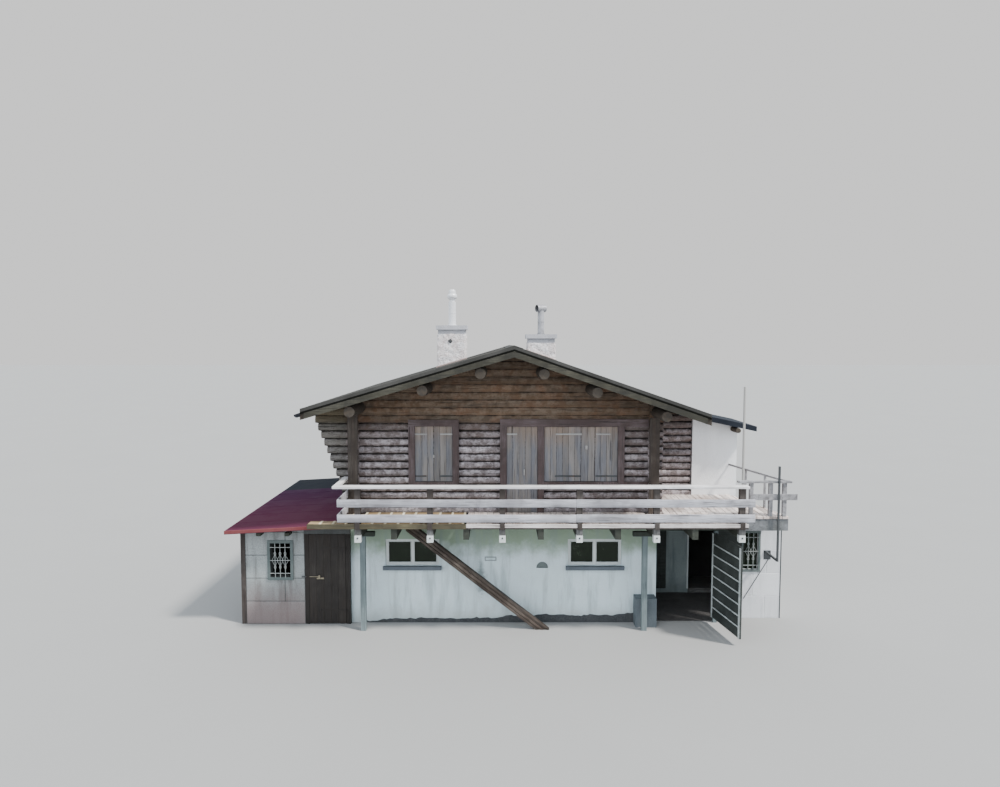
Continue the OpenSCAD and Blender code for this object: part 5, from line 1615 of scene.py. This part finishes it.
class CHALET_OT_porch(bpy.types.Operator):
    """Add the gate's pale stiles and the painted highlights on its board edges, and the boards and trim of
    the porch wall
    """

    bl_idname = "chalet.porch"
    bl_label = "Porch"

    def execute(self, context):
        start, end = GATE_ENDS
        # Pale strips at the board seams are painted highlight on the lapped board edges; the stiles are pale
        # paint
        seams = (GATE_FOOT + i * GATE_TALL / GATE_BOARDS for i in range(1, GATE_BOARDS))
        strips = [((start + GATE_STILE, GATE_FACE - 0.006, z - 0.012),
                   (end - GATE_STILE, GATE_FACE + 0.008, z + 0.014)) for z in seams]
        top = GATE_FOOT + GATE_TALL
        strips += [((x, GATE_FACE - 0.004, GATE_FOOT), (x + GATE_STILE, GATE_FACE + 0.004, top))
                   for x in (start, end - GATE_STILE)]
        piece = boards("gate_board_edges", strips, 0.003)
        edit(piece, "VERT")
        bpy.ops.transform.translate(value=GATE_AXIS)
        spin(piece, -GATE_OPEN, "Z", GATE_AXIS)
        dress(piece, "gate_edge_pale", "gate_wood", body="gate_leaf")
        wall = EXT_FRONT
        # Dark boards over the left part of the porch wall, where it shows only a dark shape
        planks = [((a, wall - 0.03, 0.13), (b, wall + 0.002, 2.06))
                  for a, b in split_boards(3.42, 4.06, 0.15, 0.005)]
        lay("porch_side_door", planks, "gate_dark", "gate_wood", turn=0.1)
        # The porch floor's dark paving is partly painted shade under the deck
        slab = [((3.405, FRONT + 0.06, 0.0), (5.295, wall - 0.001, 0.018))]
        lay("porch_floor", slab, "porch_paving", "floor_concrete", edge=0.006, cuts=20, rough=0.004)
        trim = [((a, wall - 0.02, c), (b, wall + 0.004, d)) for a, b, c, d in
                ((4.585, 4.62, 0.12, 2.0), (5.32, 5.355, 0.12, 2.0), (4.585, 5.355, 2.001, 2.035))]
        lay("porch_door_trim", trim, "white_paint", "white_frame", edge=0.003)
        return {"FINISHED"}


# The camera of the photo: place, tilt down, and focal length on a sensor of that width
CAMERA_AT = (-0.08, -19.25, 6.21)
CAMERA_TILT = 3.9
LENS_MM = 25.92
SENSOR_MM = 36


class CHALET_OT_stage(bpy.types.Operator):
    """Set up the floor, the lights and the camera"""

    bl_idname = "chalet.stage"
    bl_label = "Floor, light and camera"

    def execute(self, context):
        deselect()
        bpy.ops.mesh.primitive_plane_add(size=400)
        floor = bpy.context.object
        floor.name = "stage_floor"
        s = new_material("stage_pale")
        s.finish(s.mix(s.noise(s.place(), 0.3, 3), (0.31, 0.31, 0.307), (0.33, 0.33, 0.327)), 0.95)
        floor.data.materials.append(MATERIALS["stage_pale"])
        world = bpy.data.worlds.new("studio_sky")
        world.use_nodes = True
        sky = Shader(world.node_tree)
        lit, seen = (sky.put("ShaderNodeBackground", {0: tint, 1: power}).outputs[0]
                     for tint, power in (((0.84, 0.92, 1.0, 1), 1.45), ((1.0, 1.0, 0.997, 1), 0.98)))
        direct = sky.put("ShaderNodeLightPath").outputs["Is Camera Ray"]
        both = sky.put("ShaderNodeMixShader", {0: direct, 1: lit, 2: seen})
        world.node_tree.links.new(both.outputs[0], world.node_tree.nodes["World Output"].inputs[0])
        context.scene.world = world
        light("key_light", (-1.0, 0.5, -1.4), 6.0, (1.0, 0.97, 0.92), math.radians(6))
        light("fill_light", (0.8, 1.0, -0.7), 0.8, (0.92, 0.96, 1.0), math.radians(50))
        camera = bpy.data.cameras.new("photo_camera")
        camera.sensor_width = SENSOR_MM
        camera.lens = LENS_MM
        camera.clip_end = 600
        holder = bpy.data.objects.new("photo_camera", camera)
        context.collection.objects.link(holder)
        holder.location = CAMERA_AT
        holder.rotation_euler = (math.radians(90 - CAMERA_TILT), 0, 0)
        context.scene.camera = holder
        return {"FINISHED"}


def light(name, direction, power, tint, spread):
    """A sun lamp with soft shadows that shines in that direction."""
    lamp = bpy.data.lights.new(name, "SUN")
    lamp.energy = power
    lamp.color = tint
    lamp.angle = spread
    holder = bpy.data.objects.new(name, lamp)
    bpy.context.collection.objects.link(holder)
    holder.rotation_euler = Vector(direction).to_track_quat("-Z", "Y").to_euler()


OPERATORS = (CHALET_OT_stage, CHALET_OT_finishes, CHALET_OT_log_walls, CHALET_OT_roof,
             CHALET_OT_chimneys, CHALET_OT_shutters, CHALET_OT_balcony, CHALET_OT_ground_storey,
             CHALET_OT_left_store, CHALET_OT_right_store, CHALET_OT_porch)


class CHALET_PT_panel(bpy.types.Panel):
    """The chalet's steps, in order"""

    bl_idname = "CHALET_PT_panel"
    bl_label = "Chalet"
    bl_space_type = "VIEW_3D"
    bl_region_type = "UI"
    bl_category = "Chalet"

    def draw(self, context):
        for group in (context.scene.chalet_sizes, context.scene.chalet_colours):
            box = self.layout.box()
            for key in group.__annotations__:
                box.prop(group, key)
        for step in OPERATORS:
            self.layout.operator(step.bl_idname)


CLASSES = (ChaletColours, ChaletSizes, *OPERATORS, CHALET_PT_panel)


def register():
    """Registers the classes and their settings."""
    for one in CLASSES:
        bpy.utils.register_class(one)
    bpy.types.Scene.chalet_colours = bpy.props.PointerProperty(type=ChaletColours)
    bpy.types.Scene.chalet_sizes = bpy.props.PointerProperty(type=ChaletSizes)


def unregister():
    """Removes the settings and the classes."""
    del bpy.types.Scene.chalet_sizes
    del bpy.types.Scene.chalet_colours
    for one in reversed(CLASSES):
        bpy.utils.unregister_class(one)


def main():
    """Runs every step in order."""
    register()
    for step in OPERATORS:
        group, name = step.bl_idname.split(".")
        result = getattr(getattr(bpy.ops, group), name)()
        if "FINISHED" not in result:
            raise RuntimeError(f"{step.bl_idname} did not finish")
    for master in masters.values():
        bpy.data.objects.remove(master)


if __name__ == "__main__":
    main()
